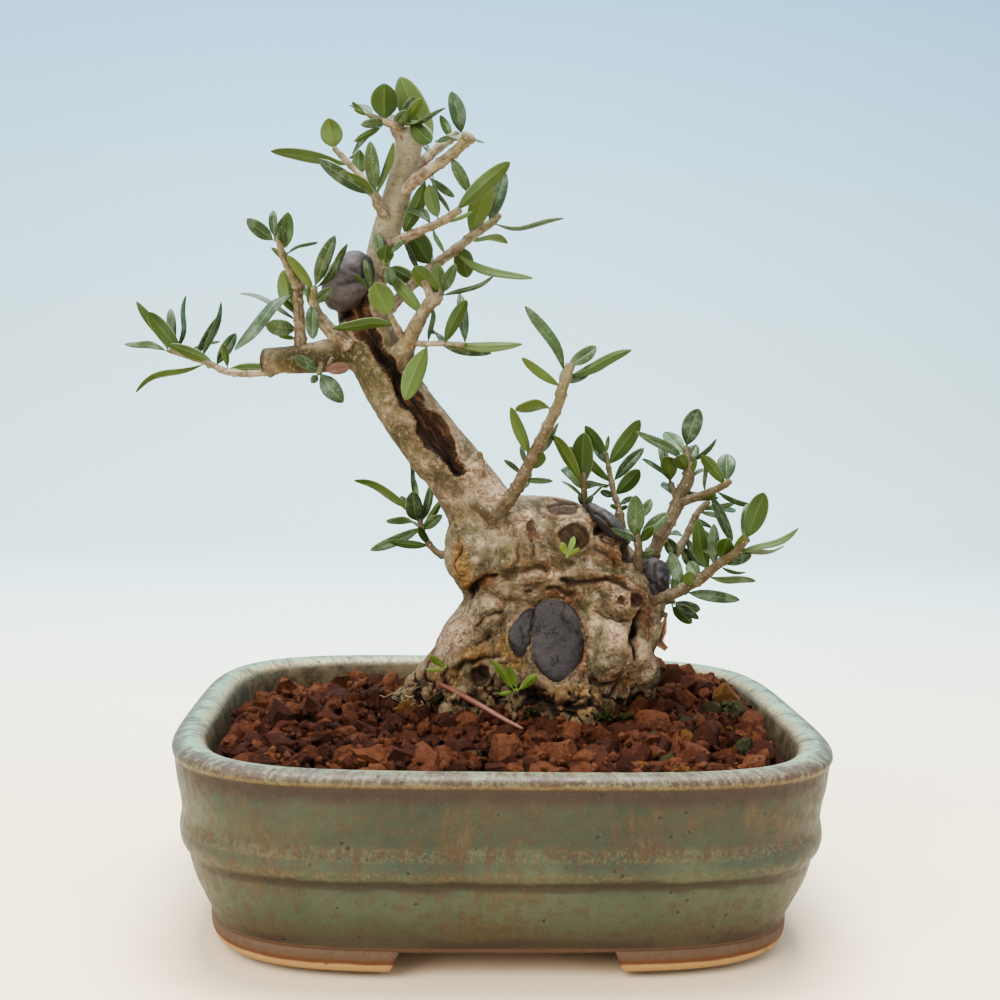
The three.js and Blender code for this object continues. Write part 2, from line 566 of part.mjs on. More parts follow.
    stems: [[[35.4, 83, 1.5, -2], [35.4, 88, 1.2, -7], [35, 92, 0.9, -8], [35.3, 96.5, 0.7, -7]]],
    leaves: [
      [34.4, 92.2, 34.2, 102.6, 4.6, -2, 1], [35.5, 96.8, 38.2, 101.7, 2.6, 2, 1],
      [34.9, 90.4, 28, 94, 1.6, -3, 1], [35.6, 90.4, 39, 94.6, 2.6, -4, -1],
      [35.8, 91.4, 42.6, 98.2, 3.6, 4, 1], [36, 87, 39.4, 88.4, 2, -3, 1],
    ],
    rear: 1,
  },
  branch_right_high: {
    stems: [
      [[37, 83, 2.4, 2], [40.4, 90.5, 2, 2], [44, 98, 1.9, 2], [45.6, 102.5, 1.8, 3], [47.6, 107, 1.9, 4],
        [47.4, 111.5, 1.2, 6], [46.8, 115.2, 1.1, 8]],
      [[45.2, 101, 1.2, 3], [43, 106, 0.8, 6]],
      [[45.5, 100.8, 1.3, 2], [52, 103.3, 1.1, -2], [56, 105.2, 1, -5], [58.4, 106.8, 0.9, -7]],
    ],
    leaves: [
      [46.9, 115.8, 49.6, 125.2, 5.2, 0, 1], [43, 106.6, 41.8, 112.8, 4.4, -4, -1],
      [42.8, 107.2, 40.3, 117, 2.6, 2, 1], [42.8, 106.6, 35.6, 112, 1.3, -2, 1],
      [46.2, 112, 33.9, 119, 2.6, -3, 1], [47, 109.4, 44.8, 113, 4, -5, -1],
      [47.6, 111.2, 49.4, 116, 3.4, 4, 1], [48, 111.4, 54.5, 117.6, 1.4, -1, 1],
      [48.2, 108, 49.4, 112.4, 1.4, -3, -1], [57, 106, 50.8, 113.2, 3.2, -3, -1],
      [57.6, 107, 57.2, 113.8, 4.8, 2, 1], [52, 104, 51.4, 112, 1.2, 1, 1],
      [46.4, 103.6, 55.6, 102.4, 1.8, -4, 1], [55.2, 104, 66, 100.5, 1.5, 2, 1],
      [49, 101.6, 55, 103.2, 2, -5, -1], [53.6, 103.2, 59.5, 91.2, 2.8, -4, 1],
    ],
    rear: 3,
  },
  shoot_right_inner: {
    stems: [[[40, 79, 1.4, 8], [44, 86, 1.3, 12], [47.5, 92, 1.1, 15], [50, 98, 1, 18],
      [53, 101.4, 0.8, 20]]],
    leaves: [
      [45, 87, 42.2, 91.8, 3.6, -4, 1], [47.6, 92, 52.2, 84.4, 2.4, -4, 1], [46.4, 90, 49.6, 84, 3, 3, 1],
      [49.6, 97, 54.2, 94.6, 1.4, -3, 1], [51, 98.6, 57, 97.4, 1.6, 3, 1], [51.6, 99.8, 59.8, 101, 1.8, 2, 1],
      [48.6, 95, 55, 91, 2.6, 4, 1],
    ],
    rear: 2,
  },
  branch_right_low: {
    stems: [[[39, 75.5, 1.9, -2], [45, 77.4, 1.6, -5], [48.5, 79.3, 1.5, -8], [52.4, 82, 1.5, -11],
      [56.5, 85.5, 1.2, -14], [60.6, 88.6, 1, -17], [63.4, 92, 0.8, -19]]],
    leaves: [
      [63.4, 92.4, 67.2, 104, 5.2, -2, -1], [62.6, 91.8, 63.3, 101.2, 2.4, 3, 1],
      [61.6, 88.6, 76.5, 95, 1.8, -1, -1], [60.6, 89.2, 73, 90.4, 1.2, 3, 1],
      [59.8, 88.6, 62.6, 93.2, 1.6, -4, -1], [57, 86, 58.2, 92, 4.4, -5, -1],
      [58, 85.2, 64.6, 87.8, 3, 1, 1], [57, 84.4, 63.2, 83.2, 1, 3, 1],
      [54, 81.8, 66, 81, 2, 1, 1], [48.6, 77.6, 62, 76, 3.1, -2, 1],
      [50.8, 79.4, 47.4, 82.4, 3.4, -5, -1], [51, 81.4, 48.6, 85.8, 3.6, 3, 1],
      [53.4, 83.4, 50.3, 96.6, 4, -1, -1], [55, 85, 54.6, 95.6, 3, 3, 1],
      [46.6, 79, 43.6, 88, 3.4, 4, 1], [44.4, 77.8, 45.6, 83.4, 2, -2, 1],
    ],
    rear: 1,
  },
  shoot_right_under: {
    stems: [[[42, 75.2, 1, 5], [45, 75.4, 0.8, 4.5]]],
    leaves: [
      [45.2, 75, 51.6, 72.8, 2, 3, 1], [45.2, 74.4, 51.4, 71, 1.8, -2, 1],
      [44.8, 74, 46.8, 69.2, 2.8, -1, -1],
    ],
    rear: 1,
  },
  leaf_curled_dry: {
    stems: [[[40.5, 73, 0.8, 1], [43, 71.4, 0.9, -1], [42.2, 67, 1.1, -2], [41.4, 64.8, 1, -2],
      [43.4, 62.6, 0.7, -2]]],
    leaves: [],
    rear: 0,
  },
  sprout_eye: {
    stems: [[[17, 84, 0.8, -9], [17, 86.2, 0.6, -13.5]]],
    leaves: [
      [16.8, 86.8, 15.4, 90, 2, -1, -1], [17.2, 87, 18.6, 91.6, 1.6, 1, 1],
      [17.4, 86.6, 20, 88.6, 1.2, -2, -1],
    ],
    rear: 0,
  },
  sprout_base_front: {
    stems: [[[4.4, 48.6, 0.9, -12], [4.6, 50.8, 0.7, -17]]],
    leaves: [
      [3.8, 51.2, -1.9, 58.8, 1.9, -1, -1], [4.8, 51.4, 2.4, 57.2, 2, -1, -1],
      [5.2, 51, 9.8, 55.2, 2.2, -2, -1], [3.8, 50.6, 0, 49.8, 1.2, -2, -1],
    ],
    rear: 0,
  },
  sprout_base_left: {
    stems: [[[-12.6, 55.4, 0.9, -2], [-14, 56.4, 0.7, -7.5]]],
    leaves: [
      [-14.6, 56.8, -18, 59.6, 1.8, -1, -1], [-14.6, 56, -19, 56, 1.2, -1, -1],
      [-13.6, 57, -12.2, 62, 1.6, -1, -1], [-13.2, 57, -10.4, 59, 1.2, -1, -1],
    ],
    rear: 0,
  },
  shoot_rear_low: {
    stems: [[[-2, 66, 1.2, 14], [0, 70, 0.9, 25], [1, 75, 0.7, 31]]],
    leaves: [],
    rear: 4,
  },
  shoot_rear_left: {
    stems: [[[0, 84, 1.3, 14], [2, 87, 1, 24], [2, 92, 0.7, 30]]],
    leaves: [],
    rear: 4,
  },
  shoot_rear_right: {
    stems: [[[24, 76, 1.3, 14], [27, 79, 1, 24], [28, 84, 0.7, 31]]],
    leaves: [],
    rear: 4,
  },
};

// The fallen leaf stalk that lies from the stump's foot to the soil.
const fallenStalk = [
  [-15.6, 52.2, 0.6, -8], [-11, 50, 0.75, -12.5], [-5, 46.8, 0.8, -17.5], [1, 43.4, 0.7, -21],
  [6.6, 40.6, 0.5, -24],
];

// The point of a shoot's stems nearest to (x, z) as seen from the front, as [x, z, y].
function stemPoint(stems, x, z) {
  let best = null;
  let nearest = Infinity;
  for (const stations of stems) {
    for (let i = 0; i + 1 < stations.length; i += 1) {
      const [ax, az, , ay] = stations[i];
      const [bx, bz, , by] = stations[i + 1];
      const along = ((x - ax) * (bx - ax) + (z - az) * (bz - az)) / ((bx - ax) ** 2 + (bz - az) ** 2);
      const t = Math.min(Math.max(along, 0), 1);
      const point = [ax + (bx - ax) * t, az + (bz - az) * t, ay + (by - ay) * t];
      const distance = Math.hypot(point[0] - x, point[1] - z);
      if (distance < nearest) {
        nearest = distance;
        best = point;
      }
    }
  }
  return best;
}

// A leaf that is seen from the front. The blade is turned about its length until it looks as wide as
// it does from there, so a leaf seen on its edge keeps its real width.
function seenLeaf(stems, [baseX, baseZ, tipX, tipZ, width, depth, side], nudge) {
  const [rootX, rootZ, rootY] = stemPoint(stems, baseX, baseZ);
  const root = at(rootX, rootZ, rootY);
  const base = at(baseX, baseZ, rootY);
  const tip = at(tipX, tipZ, rootY + depth + nudge);
  const axis = new THREE.Vector3().subVectors(tip, base);
  const length = axis.length();
  axis.divideScalar(length);
  const fullWidth = Math.max(width, slimShare * length);
  const facing = new THREE.Vector3().subVectors(viewer, base);
  facing.addScaledVector(axis, -facing.dot(axis)).normalize();
  const roll = Math.acos(Math.min(width / fullWidth, 1)) * side;
  const normal = facing.applyAxisAngle(axis, roll).multiplyScalar(side);
  return { root, base, tip, width: fullWidth, normal };
}

// A leaf behind the stem, with its place, direction, length and roll drawn at random.
function rearLeaf(stems, index, count, random) {
  const stations = stems[0];
  const share = 0.35 + 0.65 * ((index + 0.5) / count);
  const place = share * (stations.length - 1);
  const i = Math.min(Math.floor(place), stations.length - 2);
  const t = place - i;
  const mix = (k) => stations[i][k] + (stations[i + 1][k] - stations[i][k]) * t;
  const root = at(mix(0), mix(1), mix(3));
  const swing = (index % 2 ? 1 : -1) * (0.25 + 0.75 * random());
  const axis = turned(swing, 0.55 + 0.6 * random(), -0.15 + 0.8 * random()).normalize();
  const drawn = ([low, high]) => low + (high - low) * random();
  const length = drawn(rearLength);
  const width = length * drawn(rearSlimness);
  const base = root.clone().addScaledVector(axis, rearStalk);
  const tip = base.clone().addScaledVector(axis, length);
  const normal = upward.clone().addScaledVector(axis, -axis.z).normalize();
  normal.applyAxisAngle(axis, (random() - 0.5) * 1.2);
  return { root, base, tip, width, normal };
}

// A leaf blade: rows across an arched middle line, from a point inside the stem to the tip.
function blade({ root, base, tip, width, normal }, grow = 0) {
  const axis = new THREE.Vector3().subVectors(tip, base);
  const length = axis.length();
  axis.divideScalar(length);
  const across = new THREE.Vector3().crossVectors(axis, normal);
  const stalk = base.distanceTo(root) > longStalk ? [[base, 0.9]] : [];
  const shares = bladeRows.find(([widest]) => width < widest)[1];
  const rows = [[root, 0], ...stalk, ...shares.map(([t, part]) => {
    const middle = base.clone().addScaledVector(axis, t * length);
    middle.addScaledVector(normal, 4 * leafArch * length * t * (1 - t));
    return [middle, width * part];
  }), [tip, 0]];
  const halfThickness = leafThickness / 2 + grow;
  const points = [];
  const rowStarts = rows.map(([middle, rowWidth]) => {
    const first = points.length;
    const edges = rowWidth > 0 ? [-1, 1] : [0];
    for (const edge of edges) {
      const spot = middle.clone().addScaledVector(across, edge * (rowWidth / 2 + grow));
      points.push(spot.clone().addScaledVector(normal, halfThickness));
      points.push(spot.addScaledVector(normal, -halfThickness));
    }
    return [first, edges.length];
  });
  const faces = [];
  for (let i = 0; i + 1 < rowStarts.length; i += 1) {
    const [low, lowCount] = rowStarts[i];
    const [high, highCount] = rowStarts[i + 1];
    const left = [low, high];
    const right = [low + 2 * (lowCount - 1), high + 2 * (highCount - 1)];
    for (const under of [0, 1]) {
      const corners = [left[0], right[0], right[1], left[1]].map((corner) => corner + under);
      const skin = [];
      if (lowCount === 2) {
        skin.push([corners[0], corners[1], corners[2]]);
      }
      if (highCount === 2) {
        skin.push([corners[0], corners[2], corners[3]]);
      }
      if (lowCount === 2 && highCount === 1) {
        skin.splice(0, skin.length, [corners[0], corners[1], corners[2]]);
      }
      faces.push(...(under ? skin.map(([a, b, c]) => [a, c, b]) : skin));
    }
    faces.push([left[0], left[1], left[1] + 1], [left[0], left[1] + 1, left[0] + 1]);
    faces.push([right[0], right[1] + 1, right[1]], [right[0], right[0] + 1, right[1] + 1]);
  }
  return solidOf(points, faces);
}

function stemSolid(stems, grow = 0) {
  return joined(stems.map((stations) => limb(stations, stations[0][2] > 1.2 ? 5 : 4, grow)));
}

function overlap(a, b) {
  const boxA = a.boundingBox();
  const boxB = b.boundingBox();
  const apart = [0, 1, 2].some((k) => boxA.min[k] > boxB.max[k] || boxB.min[k] > boxA.max[k]);
  return apart ? 0 : a.intersect(b).volume();
}

// A leaf slips a little nearer or farther until it is clear of everything but its own stem.
function placedLeaf(stems, entry, others) {
  let best = null;
  let least = Infinity;
  for (const nudge of depthTries) {
    const leaf = seenLeaf(stems, entry, nudge);
    const probe = blade(leaf, leafRoom);
    const touched = others.reduce((sum, other) => sum + overlap(probe, other), 0);
    if (touched < least) {
      least = touched;
      best = leaf;
    }
    if (touched < touchAllowed) {
      break;
    }
  }
  return best;
}

function largestPiece(solid) {
  return solid.decompose().reduce((best, piece) => (piece.volume() > best.volume() ? piece : best));
}

// Each shoot is one body: its stems and leaves, cut clear of the wood and of the shoots made before.
function makeShoots(wood, woodClear) {
  const random = seededDraws(seed);
  const names = Object.keys(shoots);
  const stemBodies = Object.fromEntries(names.map((name) => [name, stemSolid(shoots[name].stems)]));
  const done = {};
  const clear = {};
  for (const name of names) {
    const { stems, leaves, rear } = shoots[name];
    const others = names.filter((other) => other !== name).map((other) => done[other] ?? stemBodies[other]);
    const surroundings = [...wood, ...others];
    const placed = [];
    for (const entry of leaves) {
      placed.push(placedLeaf(stems, entry, surroundings));
      surroundings.push(blade(placed.at(-1)));
    }
    for (let i = 0; i < rear; i += 1) {
      placed.push(rearLeaf(stems, i, rear, random));
    }
    let body = joined([stemBodies[name], ...placed.map((leaf) => blade(leaf))]);
    for (const cutter of [...woodClear, ...Object.values(clear)]) {
      if (overlap(body, cutter) > 0) {
        body = body.subtract(cutter);
      }
    }
    done[name] = largestPiece(body);
    clear[name] = joined([stemSolid(stems, seam), ...placed.map((leaf) => blade(leaf, seam))]);
  }
  return done;
}

// The soil: rings that shrink towards the middle, heaped round the stump, with granules as relief.
function makeSoil(cutters) {
  const random = seededDraws(seed + 1);
  const heap = (x, y) => {
    const reach = y < soilHeapY ? soilHeapFront : soilHeapBack;
    return soilRise * Math.exp(-(((x - soilHeapX) / soilHeapWidth) ** 2) - ((y - soilHeapY) / reach) ** 2);
  };
  const innerRing = (z) => {
    const [, high, low] = innerProfile;
    const share = (z - low[1]) / (high[1] - low[1]);
    return low[0] + (high[0] - low[0]) * share - seam - 0.15;
  };
  const edge = innerRing(soilLevel);
  const rings = [
    potRing(soilFloorHalfWidth, soilFloor),
    potRing(innerRing(soilShoulder), soilShoulder),
    potRing(edge, soilLevel),
  ];
  for (const share of soilShares) {
    const longer = (rimHalfWidth - rimHalfDepth) * (1 - share) * 0.5;
    const ring = potRing(edge * share + longer, soilLevel, heap);
    ring.forEach((point, j) => {
      const lift = (j + rings.length) % 2 ? 1 : -0.8;
      point.z += granuleRelief * lift * (0.5 + random());
    });
    rings.push(ring);
  }
  let soil = loft(rings);
  for (const cutter of cutters) {
    soil = soil.subtract(cutter);
  }
  return largestPiece(soil);
}

function colour(red, green, blue) {
  return new THREE.Color().setRGB(red, green, blue, THREE.SRGBColorSpace);
}

const finishes = {
  glaze: { color: colour(0.44, 0.53, 0.45), roughness: 0.35, metalness: 0 },
  soil: { color: colour(0.36, 0.19, 0.13), roughness: 0.95, metalness: 0 },
  bark: { color: colour(0.66, 0.6, 0.49), roughness: 0.85, metalness: 0 },
  leaf: { color: colour(0.27, 0.38, 0.19), roughness: 0.45, metalness: 0 },
  sprout: { color: colour(0.42, 0.58, 0.2), roughness: 0.5, metalness: 0 },
  paste: { color: colour(0.25, 0.23, 0.25), roughness: 0.6, metalness: 0 },
  dry: { color: colour(0.6, 0.4, 0.32), roughness: 0.8, metalness: 0 },
  mesh: { color: colour(0.12, 0.12, 0.12), roughness: 0.6, metalness: 0 },
};

function meshOf(name, solid, finish) {
  const { vertProperties, triVerts } = solid.getMesh();
  const geometry = new THREE.BufferGeometry();
  geometry.setAttribute('position', new THREE.BufferAttribute(new Float32Array(vertProperties), 3));
  geometry.setIndex(new THREE.BufferAttribute(new Uint32Array(triVerts), 1));
  geometry.computeVertexNormals();
  const mesh = new THREE.Mesh(geometry, new THREE.MeshStandardMaterial(finishes[finish]));
  mesh.name = name;
  return mesh;
}

const finishOfShoot = (name) => {
  if (name.startsWith('sprout')) {
    return 'sprout';
  }
  return name.startsWith('leaf') ? 'dry' : 'leaf';
};

const trunk = makeTrunk(0);
const trunkClear = makeTrunk(seam);
const pasteBodies = {};
for (const [name, place] of Object.entries(pastes)) {
  const earlier = Object.values(pasteBodies);
  pasteBodies[name] = largestPiece(makePaste(place).subtract(joined([trunkClear, ...earlier])));
}
const wood = [trunk, ...Object.values(pasteBodies)];
const pasteClear = Object.values(pastes).map(([x, z, y, a, b, c, lean]) => (
  makePaste([x, z, y, a + seam, b + seam, c + seam, lean])
));
const shootBodies = makeShoots(wood, [trunkClear, ...pasteClear]);
const stalk = largestPiece(limb(fallenStalk, 6).subtract(trunkClear));

const bonsai = new THREE.Group();
bonsai.add(meshOf('pot', makePot(), 'glaze'));
bonsai.add(meshOf('drain_mesh_left', makeDrainMesh(-drainPlace), 'mesh'));
bonsai.add(meshOf('drain_mesh_right', makeDrainMesh(drainPlace), 'mesh'));
bonsai.add(meshOf('soil', makeSoil([trunkClear, limb(fallenStalk, 6, seam)]), 'soil'));
bonsai.add(meshOf('trunk', trunk, 'bark'));
for (const [name, solid] of Object.entries(pasteBodies)) {
  bonsai.add(meshOf(name, solid, 'paste'));
}
for (const [name, solid] of Object.entries(shootBodies)) {
  bonsai.add(meshOf(name, solid, finishOfShoot(name)));
}
bonsai.add(meshOf('stalk_fallen', stalk, 'dry'));

// The origin is on the ground below the middle of the whole object.
const bounds = new THREE.Box3().setFromObject(bonsai);
const middle = bounds.getCenter(new THREE.Vector3());
bonsai.position.set(-middle.x, -middle.y, -bounds.min.z);

export default bonsai;
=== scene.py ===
import math

import bmesh
import bpy
import numpy as np
from mathutils import Matrix, Vector


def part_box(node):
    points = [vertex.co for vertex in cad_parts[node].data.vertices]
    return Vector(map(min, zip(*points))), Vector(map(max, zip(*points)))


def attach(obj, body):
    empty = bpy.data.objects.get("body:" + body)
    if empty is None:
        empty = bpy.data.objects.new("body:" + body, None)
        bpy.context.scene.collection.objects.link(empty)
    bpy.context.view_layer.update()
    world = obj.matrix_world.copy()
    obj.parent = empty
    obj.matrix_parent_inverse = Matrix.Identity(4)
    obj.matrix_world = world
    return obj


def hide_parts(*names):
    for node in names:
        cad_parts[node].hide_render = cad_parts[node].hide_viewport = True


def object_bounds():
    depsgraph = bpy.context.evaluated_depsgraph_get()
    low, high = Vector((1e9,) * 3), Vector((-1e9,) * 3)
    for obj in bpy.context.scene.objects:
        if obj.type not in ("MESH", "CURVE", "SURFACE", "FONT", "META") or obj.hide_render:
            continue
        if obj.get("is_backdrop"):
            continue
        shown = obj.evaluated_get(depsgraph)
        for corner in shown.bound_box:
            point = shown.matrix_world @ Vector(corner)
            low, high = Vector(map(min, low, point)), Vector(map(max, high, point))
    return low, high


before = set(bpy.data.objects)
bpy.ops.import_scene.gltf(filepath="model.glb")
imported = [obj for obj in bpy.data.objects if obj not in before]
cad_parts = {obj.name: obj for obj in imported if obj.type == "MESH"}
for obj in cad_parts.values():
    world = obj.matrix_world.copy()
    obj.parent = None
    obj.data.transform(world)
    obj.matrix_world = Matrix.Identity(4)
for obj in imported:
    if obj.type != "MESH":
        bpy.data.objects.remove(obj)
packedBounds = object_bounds()
print("frame loaded:", len(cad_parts), "packed parts")

potLow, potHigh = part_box("pot")
potMiddle = np.array([(potLow[0] + potHigh[0]) * 500, (potLow[1] + potHigh[1]) * 500, 0.0])

# How the tree was measured: places are read off a picture plane at depth 0, as one viewer sees them,
# and slid along the line of sight to their depth. The tree stands turned a little in its pot.
sight = {
    "viewerX": -0.75,
    "viewerDistance": 339.7,
    "viewerHeight": 127.0,
    "treeTurn": -0.055,
    "pitch": math.radians(4.443),
    "roll": math.radians(1.282),
    "lens": 47.55,
}


def turned(x, y, z):  # a point turned about the upright through the pot's middle
    c, s = math.cos(sight["treeTurn"]), math.sin(sight["treeTurn"])
    return np.stack(np.broadcast_arrays(c * x - s * y, s * x + c * y, z), -1).astype(float)


eye = turned(sight["viewerX"], -sight["viewerDistance"], sight["viewerHeight"])


def placeAt(x, z, y=0.0):  # picture place x, z slid along the line of sight to depth y
    x, z, y = (np.asarray(value, float) for value in (x, z, y))
    reach = (sight["viewerDistance"] + y) / sight["viewerDistance"]
    across = sight["viewerX"] + (x - sight["viewerX"]) * reach
    return turned(across, y, sight["viewerHeight"] + (z - sight["viewerHeight"]) * reach)


def seenAs(points):  # the reverse: picture place x, z and depth y of points
    c, s = math.cos(-sight["treeTurn"]), math.sin(-sight["treeTurn"])
    across = c * points[:, 0] - s * points[:, 1]
    depth = s * points[:, 0] + c * points[:, 1]
    reach = (sight["viewerDistance"] + depth) / sight["viewerDistance"]
    seenX = sight["viewerX"] + (across - sight["viewerX"]) / reach
    seenZ = sight["viewerHeight"] + (points[:, 2] - sight["viewerHeight"]) / reach
    return seenX, seenZ, depth


def seededDraws(start):  # the same row of draws as the solids use
    state = start

    def draw():
        nonlocal state
        state = (state * 16807) % 2147483647
        return state / 2147483647

    return draw


# Camera, light and floor


def placeCamera():  # the viewer's eye, pitched down and rolled, turned with the tree
    p, r = sight["pitch"], sight["roll"]
    forward = np.array([0, math.cos(p), -math.sin(p)])
    level = np.array([0, math.sin(p), math.cos(p)])
    right = math.cos(r) * np.array([1, 0, 0]) + math.sin(r) * level
    top = -math.sin(r) * np.array([1, 0, 0]) + math.cos(r) * level
    columns = [turned(*axis) for axis in (right, top, -forward)]
    place = eye + potMiddle
    data = bpy.data.cameras.new("viewer")
    data.lens = sight["lens"]
    data.sensor_width = 36
    data.clip_start = 0.01
    camera = bpy.data.objects.new("viewer", data)
    matrix = np.eye(4)
    matrix[:3, :3] = np.stack(columns, 1)
    matrix[:3, 3] = place / 1000
    camera.matrix_world = Matrix(matrix.tolist())
    bpy.context.collection.objects.link(camera)
    bpy.context.scene.camera = camera


# Sums with whole arrays


def ramp(values, low, high):  # 0 below low, 1 above high, smooth between
    t = np.clip((values - low) / (high - low), 0, 1)
    return t * t * (3 - 2 * t)


def bell(gap, width):  # 1 at no gap, about a third where the gap is the width
    return np.exp(-(gap / width) ** 2)


def cornerDraw(ix, iy, iz, seed):  # one fixed draw from 0 to 1 for each lattice corner
    h = (ix * 73856093) ^ (iy * 19349663) ^ (iz * 83492791) ^ (seed * 2654435761)
    h = ((h ^ (h >> 13)) * 1274126177) & 0x7FFFFFFF
    return ((h ^ (h >> 15)) & 0xFFFF) / 65535.0


def softNoise(points, size, seed=1):  # lattice draws blended smoothly, -1 to 1, over cells of this size
    p = points / size
    cell = np.floor(p).astype(np.int64)
    t = p - cell
    t = t * t * (3 - 2 * t)
    total = np.zeros(len(points))
    for i in (0, 1):
        for j in (0, 1):
            for k in (0, 1):
                share = (t[:, 0] if i else 1 - t[:, 0]) * (t[:, 1] if j else 1 - t[:, 1])
                share = share * (t[:, 2] if k else 1 - t[:, 2])
                total += share * cornerDraw(cell[:, 0] + i, cell[:, 1] + j, cell[:, 2] + k, seed)
    return total * 2 - 1


def layeredNoise(points, size, layers=4, seed=1):  # each layer half the size and 0.55 of the height
    total = np.zeros(len(points))
    height, whole = 1.0, 0.0
    for i in range(layers):
        total += height * softNoise(points, size / 2 ** i, seed + 17 * i)
        whole += height
        height *= 0.55
    return total / whole


def lineGap(x, z, line):
    # Distance from each place to a broken line, how far along it is, 0 to 1, and the distance to its left.
    best = np.full(len(x), 1e9)
    along = np.zeros(len(x))
    side = np.zeros(len(x))
    line = np.asarray(line, float)
    lengths = np.hypot(*np.diff(line[:, :2], axis=0).T)
    before = 0.0
    for (ax, az), (bx, bz), length in zip(line[:-1, :2], line[1:, :2], lengths):
        t = np.clip(((x - ax) * (bx - ax) + (z - az) * (bz - az)) / length ** 2, 0, 1)
        gap = np.hypot(x - ax - t * (bx - ax), z - az - t * (bz - az))
        closer = gap < best
        best = np.where(closer, gap, best)
        along = np.where(closer, (before + t * length) / lengths.sum(), along)
        side = np.where(closer, ((bx - ax) * (z - az) - (bz - az) * (x - ax)) / length, side)
        before += length
    return best, along, side


def unit(vectors):
    return vectors / np.linalg.norm(vectors, axis=-1, keepdims=True)


def runAlong(points):  # how far each point of a line lies from its first one, along the line
    return np.concatenate([[0], np.cumsum(np.linalg.norm(np.diff(points, axis=0), axis=1))])


def throughStations(stations, step):  # a smooth curve through rows of numbers, a row about every step
    stations = np.asarray(stations, float)
    if len(stations) == 2:
        stations = np.stack([stations[0], stations.mean(0), stations[1]])
    padded = np.concatenate([[2 * stations[0] - stations[1]], stations, [2 * stations[-1] - stations[-2]]])
    rows = []
    for i in range(len(stations) - 1):
        a, b, c, d = padded[i:i + 4]
        count = max(2, int(np.ceil(np.linalg.norm((c - b)[:3]) / step)))
        t = np.linspace(0, 1, count, endpoint=False)[:, None]
        rows.append(0.5 * (2 * b + (c - a) * t + (2 * a - 5 * b + 4 * c - d) * t ** 2
                           + (3 * b - a - 3 * c + d) * t ** 3))
    rows.append(stations[-1:])
    return np.concatenate(rows)


# Shapes are dictionaries of points, quads, tris and any number of values for each point


def gridQuads(rows, columns, closed):  # faces between neighbouring rows of a grid
    index = np.arange(rows * columns).reshape(rows, columns)
    if closed:
        index = np.concatenate([index, index[:, :1]], 1)
    a, b, c, d = index[:-1, :-1], index[:-1, 1:], index[1:, 1:], index[1:, :-1]
    return np.stack([a, b, c, d], -1).reshape(-1, 4)


def closedGrid(rows, ends=None, flipped=False, **values):
    # Rows of points round a form and one point at each end, which is its row's middle unless it is given.
    rows = np.asarray(rows, float)
    count, around = rows.shape[:2]
    start, top = count * around, (count - 1) * around
    k = np.arange(around)
    follower = (k + 1) % around
    first = np.stack([np.full(around, start), follower, k], -1)
    last = np.stack([np.full(around, start + 1), top + k, top + follower], -1)
    quads, tris = gridQuads(count, around, True), np.concatenate([first, last])
    if ends is None:
        ends = [rows[0].mean(0), rows[-1].mean(0)]
    if flipped:
        quads, tris = quads[:, ::-1], tris[:, ::-1]
    return dict(values, points=np.concatenate([rows.reshape(-1, 3), ends]), quads=quads, tris=tris)


def tubeOf(path, radii, sides):  # a round profile carried along a path, with both ends closed
    tangents = unit(np.gradient(path, axis=0))
    start = np.array([0, 1.0, 0]) if abs(tangents[0][0]) > 0.8 else np.array([1.0, 0, 0])
    sideways = []
    for tangent in tangents:
        start = unit(start - tangent * start.dot(tangent))
        sideways.append(start)
    sideways = np.array(sideways)
    other = np.cross(tangents, sideways)
    angle = np.linspace(0, 2 * np.pi, sides, endpoint=False)
    ring = sideways[:, None] * np.cos(angle)[:, None] + other[:, None] * np.sin(angle)[:, None]
    ends = [path[0] - tangents[0] * radii[0] * 0.35, path[-1] + tangents[-1] * radii[-1] * 0.35]
    along = np.concatenate([np.repeat(np.linspace(0, 1, len(path)), sides), [0, 1]])
    return closedGrid(path[:, None] + ring * radii[:, None, None], ends, along=along)


def together(shapes):  # several shapes as one, with their values kept
    keys = sorted(set().union(*[shape.keys() for shape in shapes]) - {"points", "quads", "tris"})
    wide = {key: max(np.ndim(shape[key]) for shape in shapes if key in shape) > 1 for key in keys}
    joint = {key: [] for key in ["points", "quads", "tris"] + keys}
    start = 0
    for shape in shapes:
        count = len(shape["points"])
        joint["points"].append(shape["points"])
        joint["quads"].append(shape.get("quads", np.zeros((0, 4), int)) + start)
        joint["tris"].append(shape.get("tris", np.zeros((0, 3), int)) + start)
        for key in keys:
            value = np.asarray(shape.get(key, 0.0), float)
            joint[key].append(value if value.ndim else np.full((count, 4) if wide[key] else count, value))
        start += count
    return {key: np.concatenate(parts) for key, parts in joint.items()}


